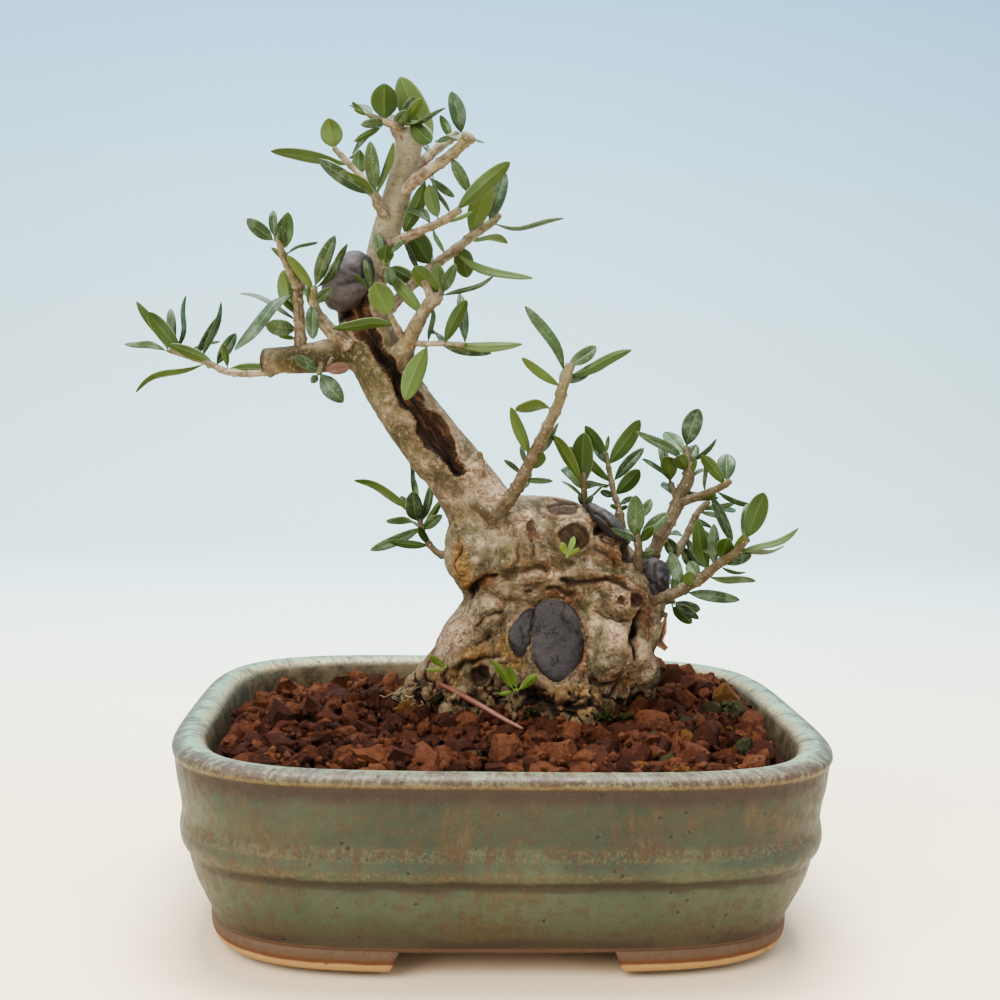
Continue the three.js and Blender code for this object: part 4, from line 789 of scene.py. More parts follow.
# Each shoot has stems of stations [x, z, radius, y], leaves of [base x, base z, tip x, tip z, width seen,
# tip's depth], with a width below 0 where the underside is seen, and how many more leaves stand behind.
shoots = {
    "shoot_crown": ([
        [[-26.5, 190, 2, 1], [-28.5, 193, 1.9, 0], [-29.6, 195, 1.6, -1], [-32.5, 195.8, 1, -1],
         [-36.2, 197.4, 0.8, -1]],
    ], [
        [-32, 196.4, -32.2, 205.1, -7, -3], [-20.2, 191.4, -28.3, 206.8, -7.4, 3],
        [-25.4, 196, -20.2, 190.8, -4.6, -6], [-27, 195.8, -22.8, 201.6, -2.6, -10],
        [-27.4, 197, -24.6, 202, 2.2, -1.5], [-29.2, 194.6, -26.4, 198.6, 3, -4.5],
        [-31.6, 195.5, -38, 194.8, 2.4, -2], [-27, 195.4, -16.8, 199.4, 0.9, -7],
        [-37, 197.6, -40.3, 200.4, -1.3, -1], [-36.6, 197.2, -39.8, 198.6, -1, -3.5],
        [-33, 194.2, -39.6, 190.6, -1.8, 0.5], [-33.4, 194.6, -40, 187.5, 1.6, 8],
    ], 3),
    "shoot_crown_left": ([
        [[-30.8, 171.5, 1.6, 0], [-33, 174.5, 1.4, -3], [-34.4, 177.8, 1.1, -4]],
    ], [
        [-34.9, 177.6, -48.6, 186, 3.8, -1], [-34.6, 177.8, -42.5, 183.2, -1.5, -8.5],
        [-34.2, 178.6, -35.6, 190.7, 3.8, -2], [-33.7, 177.8, -29.7, 190.6, -2, -1.5],
    ], 1),
    "shoot_high_left": ([
        [[-31, 173, 1.2, 4], [-36, 180, 1, 9], [-41, 185.2, 0.9, 13], [-44.6, 188.8, 0.8, 16]],
    ], [
        [-44.6, 189, -46.2, 196.2, -6, 0], [-41.5, 184.8, -60.6, 187.7, -3.2, 2],
        [-38.4, 182, -38.2, 188.6, -3.8, 2], [-41, 186.3, -37.6, 188, 1, 3],
    ], 1),
    "twig_crown_front": ([
        [[-27, 178.5, 1.7, 0], [-24, 181.3, 1.6, -3], [-20, 184.2, 1.5, -7], [-14.5, 188.3, 1.4, -12],
         [-11.6, 191.2, 1.4, -15], [-11, 191.9, 2.1, -15.5], [-10.5, 192.6, 1.9, -16]],
    ], [
        [-15, 187, -10.2, 178.6, 3, 0], [-20.5, 182, -14, 177.3, 2, 2],
        [-21.5, 181, -26.6, 168.4, -4, 3], [-19.5, 182.5, -15, 173.3, 1.2, 1],
    ], 1),
    "twig_crown_rear": ([
        [[-25.5, 183, 1.6, 4], [-22, 186.3, 1.5, 8], [-18, 189.8, 1.4, 13], [-13.8, 193, 1.2, 18]],
    ], [
        [-12.6, 193.4, -15.3, 203.5, 4.4, 1], [-15.3, 192.2, -18, 197.6, -2.5, 2],
    ], 2),
    "twig_right_upper": ([
        [[-30, 165, 1.5, -1], [-26, 167, 1.3, -5], [-22.5, 168.6, 1.2, -8], [-17.8, 170.8, 1.1, -12],
         [-12.6, 174.2, 1, -16]],
    ], [
        [-18.2, 172.2, -20.6, 180.3, -3.6, 2], [-13.3, 174.3, -0.2, 186.4, -4.2, -2],
        [-16.5, 170.9, -9.4, 173.9, -1.2, 2], [-19.2, 169.4, -16.3, 163.3, 1.2, -2],
        [-26, 166.8, -29.8, 163, 1.4, -3],
    ], 1),
    "twig_right_middle": ([
        [[-33, 146, 1.8, 5], [-29, 150, 1.6, 7], [-24.5, 155, 1.5, 9], [-19.5, 159.6, 1.5, 11],
         [-14, 163.8, 1.4, 13], [-9, 168, 1.3, 15], [-4.2, 171.4, 1.2, 17], [-2.4, 173.2, 0.9, 17]],
    ], [
        [-9.8, 168.3, -5.2, 181.2, -6, -4], [-5, 171, -1.4, 184, 4, 3],
        [-3.6, 170.9, 13.8, 172.6, 1.4, 1], [-13.2, 163.2, 6.3, 157.4, -2.4, -4],
        [-12, 164.8, -10.4, 157.2, -5.4, 4], [-20, 160.5, -25.6, 169, -6.8, -3],
        [-22.6, 158.4, -26, 165.4, 1.6, -2], [-23.8, 156.3, -29.7, 159.4, -4, 2],
    ], 3),
    "shoot_collar": ([
        [[-32, 157, 1, 0], [-31.3, 159.8, 0.7, -4]],
    ], [
        [-31.3, 160.3, -31, 165, -4.4, -2], [-32, 161.5, -33.6, 167.9, 3, 2],
        [-31.2, 158.6, -21.8, 148.1, -3.4, -5], [-30.6, 159.8, -29.3, 154.7, 3, -1],
    ], 0),
    "shoot_collar_left": ([
        [[-33.8, 151.5, 0.9, 0], [-35, 153.8, 0.7, -4.5]],
    ], [
        [-35, 154.4, -36.6, 161.2, 2, -1], [-35.3, 153.4, -39.2, 157.4, -1.2, -4],
    ], 0),
    "shoot_hollow_front": ([
        [[-25.4, 140, 1.1, -6], [-28, 144, 0.9, -9.5], [-29.7, 147.3, 0.8, -11]],
    ], [
        [-29.8, 147.4, -34, 155.3, -6.2, -1], [-28.6, 144.9, -44.6, 143.6, -2.8, -2],
    ], 0),
    "shoot_fork_right": ([
        [[-24.8, 140.5, 0.9, -6], [-21, 140.2, 0.8, -9], [-16, 140.4, 0.7, -12],
         [-10.5, 140.2, 0.6, -14]],
    ], [
        [-13, 140.3, 4, 140.7, -2.5, -4], [-16, 139.6, -3.8, 138.2, 2.4, 4],
        [-15.8, 140.6, -10.4, 151.5, -3.4, -4], [-10.6, 140.8, -12.2, 153.2, 2.8, 9],
        [-20, 140.8, -19.2, 149.6, 1.4, 3], [-20.3, 139.4, -25.6, 125.8, -5.2, -5],
    ], 1),
    "shoot_fork_top": ([
        [[-18, 151.5, 1.3, -10], [-16.8, 153.8, 0.8, -9]],
        [[-19.4, 151.8, 1.2, -10.5], [-21.2, 155.6, 1.05, -13], [-23.4, 159, 1, -15]],
    ], [
        [-17, 153.4, -18.1, 160.6, -3.6, 2], [-17.6, 153.4, -24, 159.5, -4.6, -11],
        [-16.5, 153.4, -13.4, 160.6, 3, -2], [-16.4, 152.6, -3.4, 158.1, 1.4, 2],
    ], 1),
    "twig_left_upright": ([
        [[-52.8, 135.5, 1.9, -1], [-52.7, 140, 1.7, -1], [-53, 146, 1.6, -1.5], [-53.4, 151, 1.5, -2],
         [-53.3, 154, 1.7, -3], [-55.5, 158, 1.2, -6], [-57.6, 162.5, 1, -9], [-58.6, 166.6, 0.9, -12]],
        [[-53.3, 153, 1, -2], [-52.4, 156.4, 0.8, -3]],
    ], [
        [-60, 165.6, -66.6, 170.7, 3.6, -1], [-59.6, 166.6, -59.9, 173, 2.2, 2],
        [-59.4, 165.2, -56.6, 171.8, -2.8, 1.5], [-56.4, 164, -56.2, 172.6, -3.8, 2.5],
        [-56.8, 164.2, -58, 168.8, 2.6, -4], [-57, 160.6, -60.3, 163.7, -1.4, 2],
        [-54.6, 147.4, -57.2, 158, -5.2, 3], [-53.6, 147, -57.2, 151, -1.5, -3],
        [-54, 145.6, -68, 151.9, 1.3, 2], [-54.6, 152, -69.4, 137.6, 3, -13],
        [-54, 143.2, -61.6, 144, 4.3, -2], [-54, 140.8, -58.2, 141.2, -1.3, 0],
    ], 2),
    "shoot_left_front": ([
        [[-40, 139.5, 2.4, -3], [-45, 143, 1.9, -5], [-48.4, 147.3, 1.6, -6.5], [-49.4, 151, 1.3, -7.5],
         [-49.3, 153.8, 1, -8]],
    ], [
        [-49, 154.4, -44.2, 167, 3.6, -2], [-48.6, 154, -41, 165, 2, -5],
        [-49, 150, -44.6, 154, 2.8, -4], [-49.6, 149.6, -49.5, 140.8, 3.5, -4],
        [-50, 148.5, -50.8, 154.2, -1.5, -2.5], [-49.4, 153, -56.2, 161.8, -2.6, -3],
    ], 1),
    "shoot_left_long": ([
        [[-57, 133.3, 1.2, 1.6], [-64, 131.7, 1, 4], [-71, 131.9, 1, 7], [-76, 134, 0.9, 10],
         [-82, 135.8, 0.8, 13], [-86.3, 137, 0.6, 15]],
    ], [
        [-83.5, 136.6, -91.6, 146.7, -4.4, -2], [-86.5, 137.3, -94.6, 149.3, -2.8, 1],
        [-87, 137, -97.6, 138.4, 2.1, 2], [-84.6, 137.2, -82, 151, 1.7, 6],
        [-85.3, 137.6, -85.9, 147.7, 2.6, 5], [-75.4, 134.6, -86, 138.6, -3, -3],
        [-77.8, 133.6, -94.7, 126.3, -1.8, -2], [-78, 135.4, -73, 149.7, 1.8, 2],
        [-79.5, 135.8, -73, 146.6, 2.6, 4], [-74, 133.8, -69.2, 141.8, 3.2, 2],
        [-71.3, 133.2, -72.6, 139, -1.8, -2], [-70.6, 132.8, -60, 133.2, -3.6, 5],
    ], 2),
    "shoot_under_stub": ([
        [[-47, 134.5, 1, -3], [-47.8, 132.2, 0.8, -6]],
    ], [
        [-48, 132.5, -54.2, 136.2, 2.8, -1], [-47.4, 131.8, -41.6, 124.8, 4.8, -3],
        [-48.2, 131.6, -49.8, 129.6, 2, -1],
    ], 1),
    "leaf_faded": ([
        [[-44.4, 136, 0.7, -3], [-45.4, 134.2, 0.6, -6.5]],
    ], [
        [-46, 133, -40, 133.8, 3, -1],
    ], 0),
    "twig_middle": ([
        [[-3, 93.5, 2.4, -3], [0, 98.5, 2, -6.5], [3.6, 104, 1.8, -10], [7.8, 112.8, 1.6, -14],
         [11, 119.6, 1.5, -17], [13.8, 126, 1.4, -20], [14.6, 129.6, 1.5, -21], [16.6, 135.8, 1.3, -22]],
        [[-2.6, 95, 1.5, -9], [-4.7, 97.2, 1.2, -13], [-8, 99.8, 1.1, -16]],
    ], [
        [14.9, 134.2, 4.5, 150.3, 2.9, -3], [13.9, 130.2, 4, 137.2, -2.4, -3],
        [16, 135.6, 23, 140.5, 3.6, 4], [16.6, 133, 32, 139.8, -2.8, -3],
        [15.8, 131, 21.5, 134.4, 2.4, 4], [14.2, 129.8, 14.6, 134.4, 1.2, 3],
        [6.6, 112.6, 1.5, 124.5, -3, -3], [5.6, 110, 4.3, 114.8, 1.4, 3],
        [8.6, 112.4, 13.8, 120.8, 1.4, 3], [6.6, 109, 10.2, 113, -3.6, -4],
        [4.4, 107.6, 0, 111, 1.4, -2], [4.8, 105.9, 12.8, 105.8, 1.6, -2], [3.6, 102.6, 7, 105.6, -1, 4],
    ], 1),
    "shoot_waist_left": ([
        [[-11, 88, 1.3, 7], [-15, 86, 1.1, 8], [-18.2, 88, 0.9, 9], [-20.4, 91.5, 0.9, 11],
         [-21.5, 95.5, 0.8, 13], [-23.2, 101.5, 0.6, 15]],
    ], [
        [-22.6, 97.4, -38.4, 104.8, -2.4, -1], [-22, 94.8, -23.4, 102.2, 4.8, -4],
        [-22.4, 96, -26.4, 101, 2.6, 5.5], [-23.3, 102, -24.1, 110, 1.3, 2],
        [-22, 99.6, -22.8, 105.6, -1.8, 4], [-20.6, 94.8, -18.6, 104.5, 2.4, 2],
        [-20, 94, -15.8, 100.5, -2, 5], [-20.4, 92.6, -15.6, 96.4, 3, -3], [-20.8, 93, -34, 86.8, 3, -2],
        [-19, 88.4, -29.2, 89.2, -2.3, -1.5], [-18.9, 88.6, -21.6, 93.2, -2, -4],
    ], 1),
    "shoot_shoulder_left": ([
        [[21.3, 95, 1.1, 4], [21.3, 99, 0.9, 1], [20.8, 104.5, 0.8, -2], [20.6, 108, 0.6, -4]],
    ], [
        [20.6, 105, 20.4, 118.4, -5.8, -2], [20, 106.2, 12.5, 117.6, -3, -11],
        [20.8, 103.8, 17.2, 109.4, 3, 3], [21, 99.6, 19.4, 102.4, 1.6, -2],
        [21.4, 99.6, 23.2, 102.4, 1.8, -3], [20.8, 101.6, 15, 105.8, 0.9, -1],
        [21.4, 101.6, 26, 105, 0.8, 2],
    ], 1),
    "shoot_shoulder_right": ([
        [[31.6, 88, 1.7, 7], [30.4, 95.5, 1.5, 8], [29.8, 99.5, 1, 10], [28.6, 103, 0.9, 12],
         [27.1, 109, 0.8, 15], [26.3, 113.4, 0.6, 17]],
    ], [
        [26.4, 112.4, 20.7, 120.2, -3.4, -2], [27.2, 110.6, 34.7, 122, -4.6, -3],
        [26.4, 110.6, 22.4, 116, 2.6, 4.5], [27.8, 105.8, 15.6, 114.6, -2.8, -5],
        [28.6, 106.4, 35.9, 114.8, 3.2, 4], [29.2, 102.8, 35, 109.2, -4.2, -3],
        [26.4, 113.6, 26.8, 117.8, -1.2, 1], [28.4, 102.2, 25, 103.4, 2, 1],
        [30, 100, 33.6, 102.2, 1.6, 2], [29.8, 98.8, 27.7, 100, -1.3, -2],
        [30, 98.6, 32.2, 99.8, -1.3, -3],
    ], 1),
    "shoot_shoulder_front": ([
        [[35.4, 83, 1.5, -2], [35.4, 88, 1.2, -7], [35, 92, 0.9, -8], [35.3, 96.5, 0.7, -7]],
    ], [
        [34.4, 92.2, 34.2, 102.6, 4.6, -2], [35.5, 96.8, 38.2, 101.7, 2.6, 2],
        [34.9, 90.4, 28, 94, 1.6, -4.5], [35.6, 90.4, 39, 94.6, -2.6, -4],
        [35.8, 91.4, 42.6, 98.2, 3.6, 4], [36, 87, 39.4, 88.4, 2, -3],
    ], 1),
    "branch_right_high": ([
        [[37, 83, 2.4, 2], [40.4, 90.5, 2, 2], [44, 98, 1.9, 2], [45.6, 102.5, 1.8, 3],
         [47.6, 107, 1.9, 4], [47.4, 111.5, 1.2, 6], [46.8, 115.2, 1.1, 8]],
        [[45.2, 101, 1.2, 3], [43, 106, 0.8, 6]],
        [[45.5, 100.8, 1.3, 2], [52, 103.3, 1.1, -2], [56, 105.2, 1, -5], [58.4, 106.8, 0.9, -7]],
    ], [
        [46.9, 115.8, 49.6, 125.2, 5.2, 0], [43, 106.6, 41.8, 112.8, -4.4, -4],
        [42.8, 107.2, 40.3, 117, 2.6, 6.5], [42.8, 106.6, 35.6, 112, 1.3, -8],
        [46.2, 112, 33.9, 119, 2.6, -3], [47, 109.4, 44.8, 113, -4, -6.5],
        [47.6, 111.2, 49.4, 116, 3.4, 4], [48, 111.4, 54.5, 117.6, 1.4, -2.5],
        [48.2, 108, 49.4, 112.4, -1.4, -3], [57, 106, 50.8, 113.2, -3.2, -3],
        [57.6, 107, 57.2, 113.8, 4.8, 5], [52, 104, 51.4, 112, 1.2, 1],
        [46.4, 103.6, 55.6, 102.4, 1.8, -4], [55.2, 104, 66, 100.5, 1.5, 2],
        [49, 101.6, 55, 103.2, -2, -5], [53.6, 103.2, 59.5, 91.2, 2.8, 0.5],
    ], 3),
    "shoot_right_inner": ([
        [[40, 79, 1.4, 8], [44, 86, 1.3, 12], [47.5, 92, 1.1, 15], [50, 98, 1, 18], [53, 101.4, 0.8, 20]],
    ], [
        [45, 87, 42.2, 91.8, 3.6, -4], [47.6, 92, 52.2, 84.4, 2.4, -4], [46.4, 90, 49.6, 84, 3, 3],
        [49.6, 97, 54.2, 94.6, 1.4, -3], [51, 98.6, 57, 97.4, 1.6, 3], [51.6, 99.8, 59.8, 101, 1.8, 2],
        [48.6, 95, 55, 91, 2.6, 4],
    ], 2),
    "branch_right_low": ([
        [[39, 75.5, 1.9, -2], [45, 77.4, 1.6, -5], [48.5, 79.3, 1.5, -8], [52.4, 82, 1.5, -11],
         [56.5, 85.5, 1.2, -14], [60.6, 88.6, 1, -17], [63.4, 92, 0.8, -19]],
    ], [
        [63.4, 92.4, 67.2, 104, -5.2, -2], [62.6, 91.8, 63.3, 101.2, 2.4, 6],
        [61.6, 88.6, 76.5, 95, -1.8, -1], [60.6, 89.2, 73, 90.4, 1.2, 9],
        [59.8, 88.6, 62.6, 93.2, -1.6, -4], [57, 86, 58.2, 92, -4.4, -5], [58, 85.2, 64.6, 87.8, 3, 1],
        [57, 84.4, 63.2, 83.2, 1, 3], [54, 81.8, 66, 81, 2, 1], [48.6, 77.6, 62, 76, 3.1, -2],
        [50.8, 79.4, 47.4, 82.4, -3.4, -5], [51, 81.4, 48.6, 85.8, 3.6, 3],
        [53.4, 83.4, 50.3, 96.6, -4, -1], [55, 85, 54.6, 95.6, 3, 0], [46.6, 79, 43.6, 88, 3.4, 4],
        [44.4, 77.8, 45.6, 83.4, 2, 1],
    ], 1),
    "shoot_right_under": ([
        [[42, 75.2, 1, 5], [45, 75.4, 0.8, 4.5]],
    ], [
        [45.2, 75, 51.8, 73.2, 2.8, 3], [45.2, 74.4, 51.6, 70.8, 2.4, -2],
        [44.6, 73.8, 49.8, 69.6, -3.2, 0],
    ], 1),
    "leaf_curled_dry": ([
        [[40.5, 73, 0.8, 1], [43, 71.4, 0.9, -1], [42.2, 67, 1.1, -2], [41.4, 64.8, 1, -2],
         [43.4, 62.6, 0.7, -2]],
    ], [], 0),
    "sprout_eye": ([
        [[17, 84, 0.8, -9], [17, 86.2, 0.6, -13.5]],
    ], [
        [16.8, 86.8, 15.4, 90, -2, -1], [17.2, 87, 18.6, 91.6, 1.6, 2.5],
        [17.4, 86.6, 20, 88.6, -1.2, -2],
    ], 0),
    "sprout_base_front": ([
        [[4.4, 48.6, 0.9, -12], [4.6, 50.8, 0.7, -17]],
    ], [
        [3.8, 51.2, -1.9, 58.8, -1.9, -1], [4.8, 51.4, 2.4, 57.2, -2, -4],
        [5.2, 51, 9.8, 55.2, -2.2, -2], [3.8, 50.6, 0, 49.8, -1.2, -2],
    ], 0),
    "sprout_base_left": ([
        [[-12.6, 55.4, 0.9, -2], [-14, 56.4, 0.7, -7.5]],
    ], [
        [-14.6, 56.8, -18, 59.6, -1.8, -1], [-14.6, 56, -19, 56, -1.2, -1],
        [-13.6, 57, -12.2, 62, -1.6, -1], [-13.2, 57, -10.4, 59, -1.2, -2.5],
    ], 0),
    "shoot_rear_low": ([
        [[-2, 66, 1.2, 14], [0, 70, 0.9, 25], [1, 75, 0.7, 31]],
    ], [], 4),
    "shoot_rear_left": ([
        [[0, 84, 1.3, 14], [2, 87, 1, 24], [2, 92, 0.7, 30]],
    ], [], 4),
    "shoot_rear_right": ([
        [[24, 76, 1.3, 14], [27, 79, 1, 24], [28, 84, 0.7, 31]],
    ], [], 4),
}


# The pot

pot = {
    "squareness": 4.2,
    "deeper": 12.0,  # how much less the half depth is than the half width
    "around": 320,
    "outside": [
        [69.2, 5.0], [69.9, 5.6], [70.2, 6.6], [70.7, 8.3], [71.8, 10.8], [73.7, 15.5], [74.7, 19.0],
        [75.0, 20.4], [75.1, 21.4], [75.4, 22.2], [76.0, 23.0], [76.6, 24.0], [76.95, 25.2], [77.1, 26.6],
        [76.95, 28.2], [76.7, 29.5], [76.55, 30.6], [76.65, 32.2], [77.05, 35.0], [77.7, 38.5], [78.05, 41.6],
        [78.2, 43.2], [78.3, 44.1], [78.6, 44.7], [78.75, 45.4], [78.45, 46.2], [77.5, 46.85], [76.0, 47.2],
    ],
    "inside": [
        [74.4, 47.15], [72.8, 46.6], [71.6, 45.6], [71.0, 44.0], [70.4, 40.5], [68.4, 27.0], [66.6, 15.0],
        [65.9, 11.2], [64.8, 9.5], [63.0, 9.0],
    ],
    "lipFrom": [78.5, 44.6],
    "lipTo": [71.6, 45.6],
    "unevenness": 0.22,
    "footOutside": [
        [69.4, 5.7], [69.95, 5.2], [70.1, 4.2], [70.0, 2.6], [69.5, 1.1], [68.7, 0.25], [67.6, 0.0],
    ],
    "footInside": [[58.4, 0.0], [57.4, 0.2], [56.8, 0.9], [57.2, 3.0], [57.4, 5.6]],
    "channelHalfWidth": 26.1,
    "channelHalfDepth": 21.6,
    "channelSlope": 0.43,
    "drainRadius": 7.0,
    "drainPlace": 34.0,
}


def roundedRing(halfWidth, angles):  # |x/a|^n + |y/b|^n = 1 as a function of an angle
    power = 2 / pot["squareness"]
    c, s = np.cos(angles), np.sin(angles)
    x = halfWidth * np.sign(c) * np.abs(c) ** power
    y = (halfWidth - pot["deeper"]) * np.sign(s) * np.abs(s) ** power
    return x, y


def ringAt(halfWidth, z, angles):  # the same ring's points at one height
    x, y = roundedRing(halfWidth, angles)
    return np.stack([x, y, np.full(len(x), z)], -1)


def evenAngles(count):  # angles that put the ring's points evenly along it, a quarter at a time
    dense = np.linspace(0, np.pi / 2, 6001)
    along = runAlong(ringAt(79.0, 0, dense))
    quarter = np.interp(np.linspace(0, along[-1], count // 4 + 1)[:-1], along, dense)
    mirrored = np.interp(np.linspace(along[-1], 0, count // 4 + 1)[:-1], along, dense)
    return np.concatenate([quarter, np.pi - mirrored, np.pi + quarter, 2 * np.pi - mirrored])


def drainPlate(halfWidth, z, angles):  # a flat floor from the wall's ring to the two drain holes
    x, y = roundedRing(halfWidth, angles)
    count = len(angles)
    middleLine = np.linspace(1, -1, 25)[1:-1] * (halfWidth - pot["deeper"])
    shapes = []
    for side in (1, -1):
        quarter = count // 4
        order = np.arange(-quarter, quarter + 1) if side > 0 else np.arange(quarter, 3 * quarter + 1)
        outline = np.stack([x[order % count], y[order % count]], -1)
        line = np.stack([np.zeros(len(middleLine)), middleLine * side], -1)
        outline = np.concatenate([outline, line])
        hub = np.array([side * pot["drainPlace"], 0.0])
        hole = hub + unit(outline - hub) * pot["drainRadius"]
        share = np.array([0, 0.3, 0.6, 0.85, 1.0])[:, None, None]
        rows = outline + (hole - outline) * share
        points = np.concatenate([rows, np.full(rows.shape[:2] + (1,), z)], -1)
        shapes.append({"points": points.reshape(-1, 3), "quads": gridQuads(len(share), len(outline), True)})
    return shapes


def weldedPot():  # wall, floor with its drain holes, and four feet
    angles = evenAngles(pot["around"])
    profile = throughStations(np.array(pot["outside"] + pot["inside"]), 0.8)
    flat = np.concatenate([ringAt(halfWidth, z, angles) for halfWidth, z in profile])
    run = runAlong(profile)
    ringX, ringY = roundedRing(76.0, angles)
    first = run[np.argmin(np.hypot(*(profile - pot["lipFrom"]).T))]
    final = run[np.argmin(np.hypot(*(profile - pot["lipTo"]).T))]
    section = (run - first) / (final - first)
    ring = np.stack(np.broadcast_arrays(ringX, ringY, run[:, None] * 0.3, 1000.0), -1).reshape(-1, 4) / 1000
    outward = unit(flat * [1, 1, 0])
    uneven = pot["unevenness"] * layeredNoise(flat * [1, 1, 2.5], 30, 3, 5)
    uneven = uneven * ramp(flat[:, 2], 6, 12)
    uneven[-len(angles):] = 0
    flat = flat + outward * uneven[:, None]
    turn = np.arange(len(profile)) > len(throughStations(np.array(pot["outside"]), 0.8)) + 1
    wall = {
        "points": flat,
        "quads": gridQuads(len(profile), len(angles), True),
        "within": np.repeat(turn.astype(float), len(angles)),
        "ring": ring,
        "section": np.repeat(section, len(angles)),
        "under": 0.0,
    }
    plates = []
    for (halfWidth, z), within, under in ((pot["outside"][0], 0.0, 1.0), (pot["inside"][-1], 1.0, 0.0)):
        for plate in drainPlate(halfWidth, z, angles):
            plates.append(dict(plate, within=within, under=under))
    for side in (0, 1):
        low, high = plates[side]["points"], plates[side + 2]["points"]
        count = len(low) // 5
        tube = np.stack([low[-count:], high[-count:]]).reshape(-1, 3)
        plates.append({"points": tube, "quads": gridQuads(2, count, True), "within": 0.0, "under": 1.0})
    return [wall] + plates


def feet():  # a cross-section carried round each corner between two sloping cuts
    section = np.array(pot["footOutside"] + pot["footInside"])
    power = pot["squareness"] / 2
    rows = []
    for halfWidth, z in section:
        cutX = pot["channelHalfWidth"] - pot["channelSlope"] * z
        cutY = pot["channelHalfDepth"] - pot["channelSlope"] * z
        first = math.asin((cutY / (halfWidth - pot["deeper"])) ** power)
        final = math.acos((cutX / halfWidth) ** power)
        dense = np.linspace(first, final, 2001)
        along = runAlong(ringAt(halfWidth, z, dense))
        spots = np.interp(np.linspace(0, along[-1], 49), along, dense)
        rows.append(ringAt(halfWidth, z, spots))
    body = np.array(rows).transpose(1, 0, 2)
    corners = ((1, 1), (-1, 1), (-1, -1), (1, -1))
    return [closedGrid(body * [signX, signY, 1], within=0.0, under=0.0) for signX, signY in corners]


def outwards(piece, weld=None):  # near points made one, and every face turned outwards
    work = bmesh.new()
    work.from_mesh(piece.data)
    if weld:
        bmesh.ops.remove_doubles(work, verts=work.verts, dist=weld)
    bmesh.ops.recalc_face_normals(work, faces=work.faces)
    work.to_mesh(piece.data)
    work.free()
    piece.data.update()


def makePot():  # wall, floor and feet as one skin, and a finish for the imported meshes
    piece = pieceFrom("pot_glazed", together(weldedPot() + feet()), [glazeFinish()], "glaze", ["pot"])
    outwards(piece, 1e-7)
    net = netFinish()
    for name in ("drain_mesh_left", "drain_mesh_right"):
        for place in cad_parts[name].material_slots:
            place.material = net
    print("pot:", len(piece.data.polygons), "faces")


# The wood of the stump, trunk and stubs

wood = {
    "voxel": 0.55,
    "smoothing": 7,
    "lumps": 0.85,
    "lumpSize": 13,
    "roughness": 0.42,
    "roughnessSize": 4.6,
    "folds": 0.3,
    "foldSize": 7.5,
    "wrinkles": 0.3,
    "wrinkleSize": 3.0,
    "crackDepth": 0.55,
    "crackSpacing": 4.2,
    "crust": 0.8,
    "caveDepth": 1.6,
    "hollowDepth": 2.4,
    "hollowLip": 0.8,
    "woundRim": 0.5,
    "warp": 2.2,
    "flutes": 7,
    "fluteDepth": 0.05,
    "fluteTwist": 0.09,
}

stumpDepth = 5
stumpLevels = [  # height, left and right edge, half depth
    [34, -24, 32, 20], [44, -24.5, 34, 21], [50, -22.5, 37.5, 20], [56, -20.3, 41, 18.5],
    [60, -18.3, 41.4, 18], [65, -16, 38.5, 17.5], [70, -13, 41.5, 16.8], [73.5, -10.3, 42.6, 15.5],
    [76, -9.6, 42.8, 15], [79, -12, 42.4, 16], [82.5, -14.3, 40.3, 17], [86, -15, 36.3, 17],
    [90, -14.5, 32.5, 16], [94, -13.5, 29.5, 14], [97.5, -12.5, 25, 11.5], [100, -9, 19.5, 8.5],
    [101.8, -3, 13, 5],
]
limbs = [  # stations [x, z, radius, y]
    [[2, 90, 9, 5], [-5, 97.5, 8.8, 4.5], [-12, 107, 8.2, 4], [-18.3, 114.5, 7.9, 3],
     [-24.3, 122.5, 7.7, 2.5], [-29.8, 130.5, 7.6, 2], [-33.5, 138, 7.4, 1.5], [-36, 145, 6.8, 1],
     [-37.5, 151.5, 6, 1]],
    [[-37, 143, 4.2, 3], [-35, 150, 3.7, 2], [-33.8, 157, 3.3, 2], [-32.7, 163, 3.4, 2],
     [-30.6, 170, 3.85, 2], [-28.2, 179, 3.7, 2], [-26.7, 185, 3.4, 2], [-25.9, 190, 3.6, 2],
     [-25.4, 194, 3.1, 2]],
    [[-36, 140, 5, 1], [-42, 137.5, 4.6, 1], [-48, 136.2, 4.1, 0], [-56, 135.2, 3.6, -1],
     [-62.3, 134.9, 3.3, -1.5]],
    [[-29, 133, 3.4, -3], [-26.5, 137, 3, -5], [-24.8, 141.5, 2.2, -7], [-22.3, 146.5, 1.9, -9],
     [-19.7, 150.7, 1.9, -10], [-17.6, 152.3, 2.3, -10]],
    [[-5.8, 107, 1.3, -1], [-5.7, 110, 1.1, -3], [-6.3, 113, 0.9, -4]],
    [[-28.5, 167, 1.6, 1], [-27, 166.3, 1.2, 0]],
    [[-60, 133, 1.2, -2], [-60.3, 130.8, 0.9, -3]],
]
roots = [
    [[-9, 60, 8, 4], [-17, 53, 6, 3], [-25, 45, 4.5, 1], [-32, 39, 3, -2]],
    [[-3, 55, 7, -2], [-8, 48, 6, -7], [-13, 39, 4, -12]],
    [[15, 52, 8, -3], [17, 46, 7.5, -7], [20, 37, 6, -11]],
    [[34, 58, 6.5, 3], [35.5, 51, 5.5, 1], [37, 43, 4, 0]],
    [[-5, 58, 8, 13], [-9, 48, 6, 19], [-13, 39, 4, 24]],
    [[16, 58, 9, 13], [19, 48, 7, 19], [22, 39, 5, 25]],
    [[32, 56, 6, 13], [35, 47, 5, 19], [38, 39, 3.5, 24]],
    [[-9, 50, 2.3, -8], [-10.6, 47.6, 2.1, -14]],
    [[19, 55, 5, -4], [21.5, 48, 5, -12], [22, 40, 4, -15]],
    [[7, 50, 3.2, -9], [5, 44, 2.6, -14], [4, 38, 2, -17]],
]
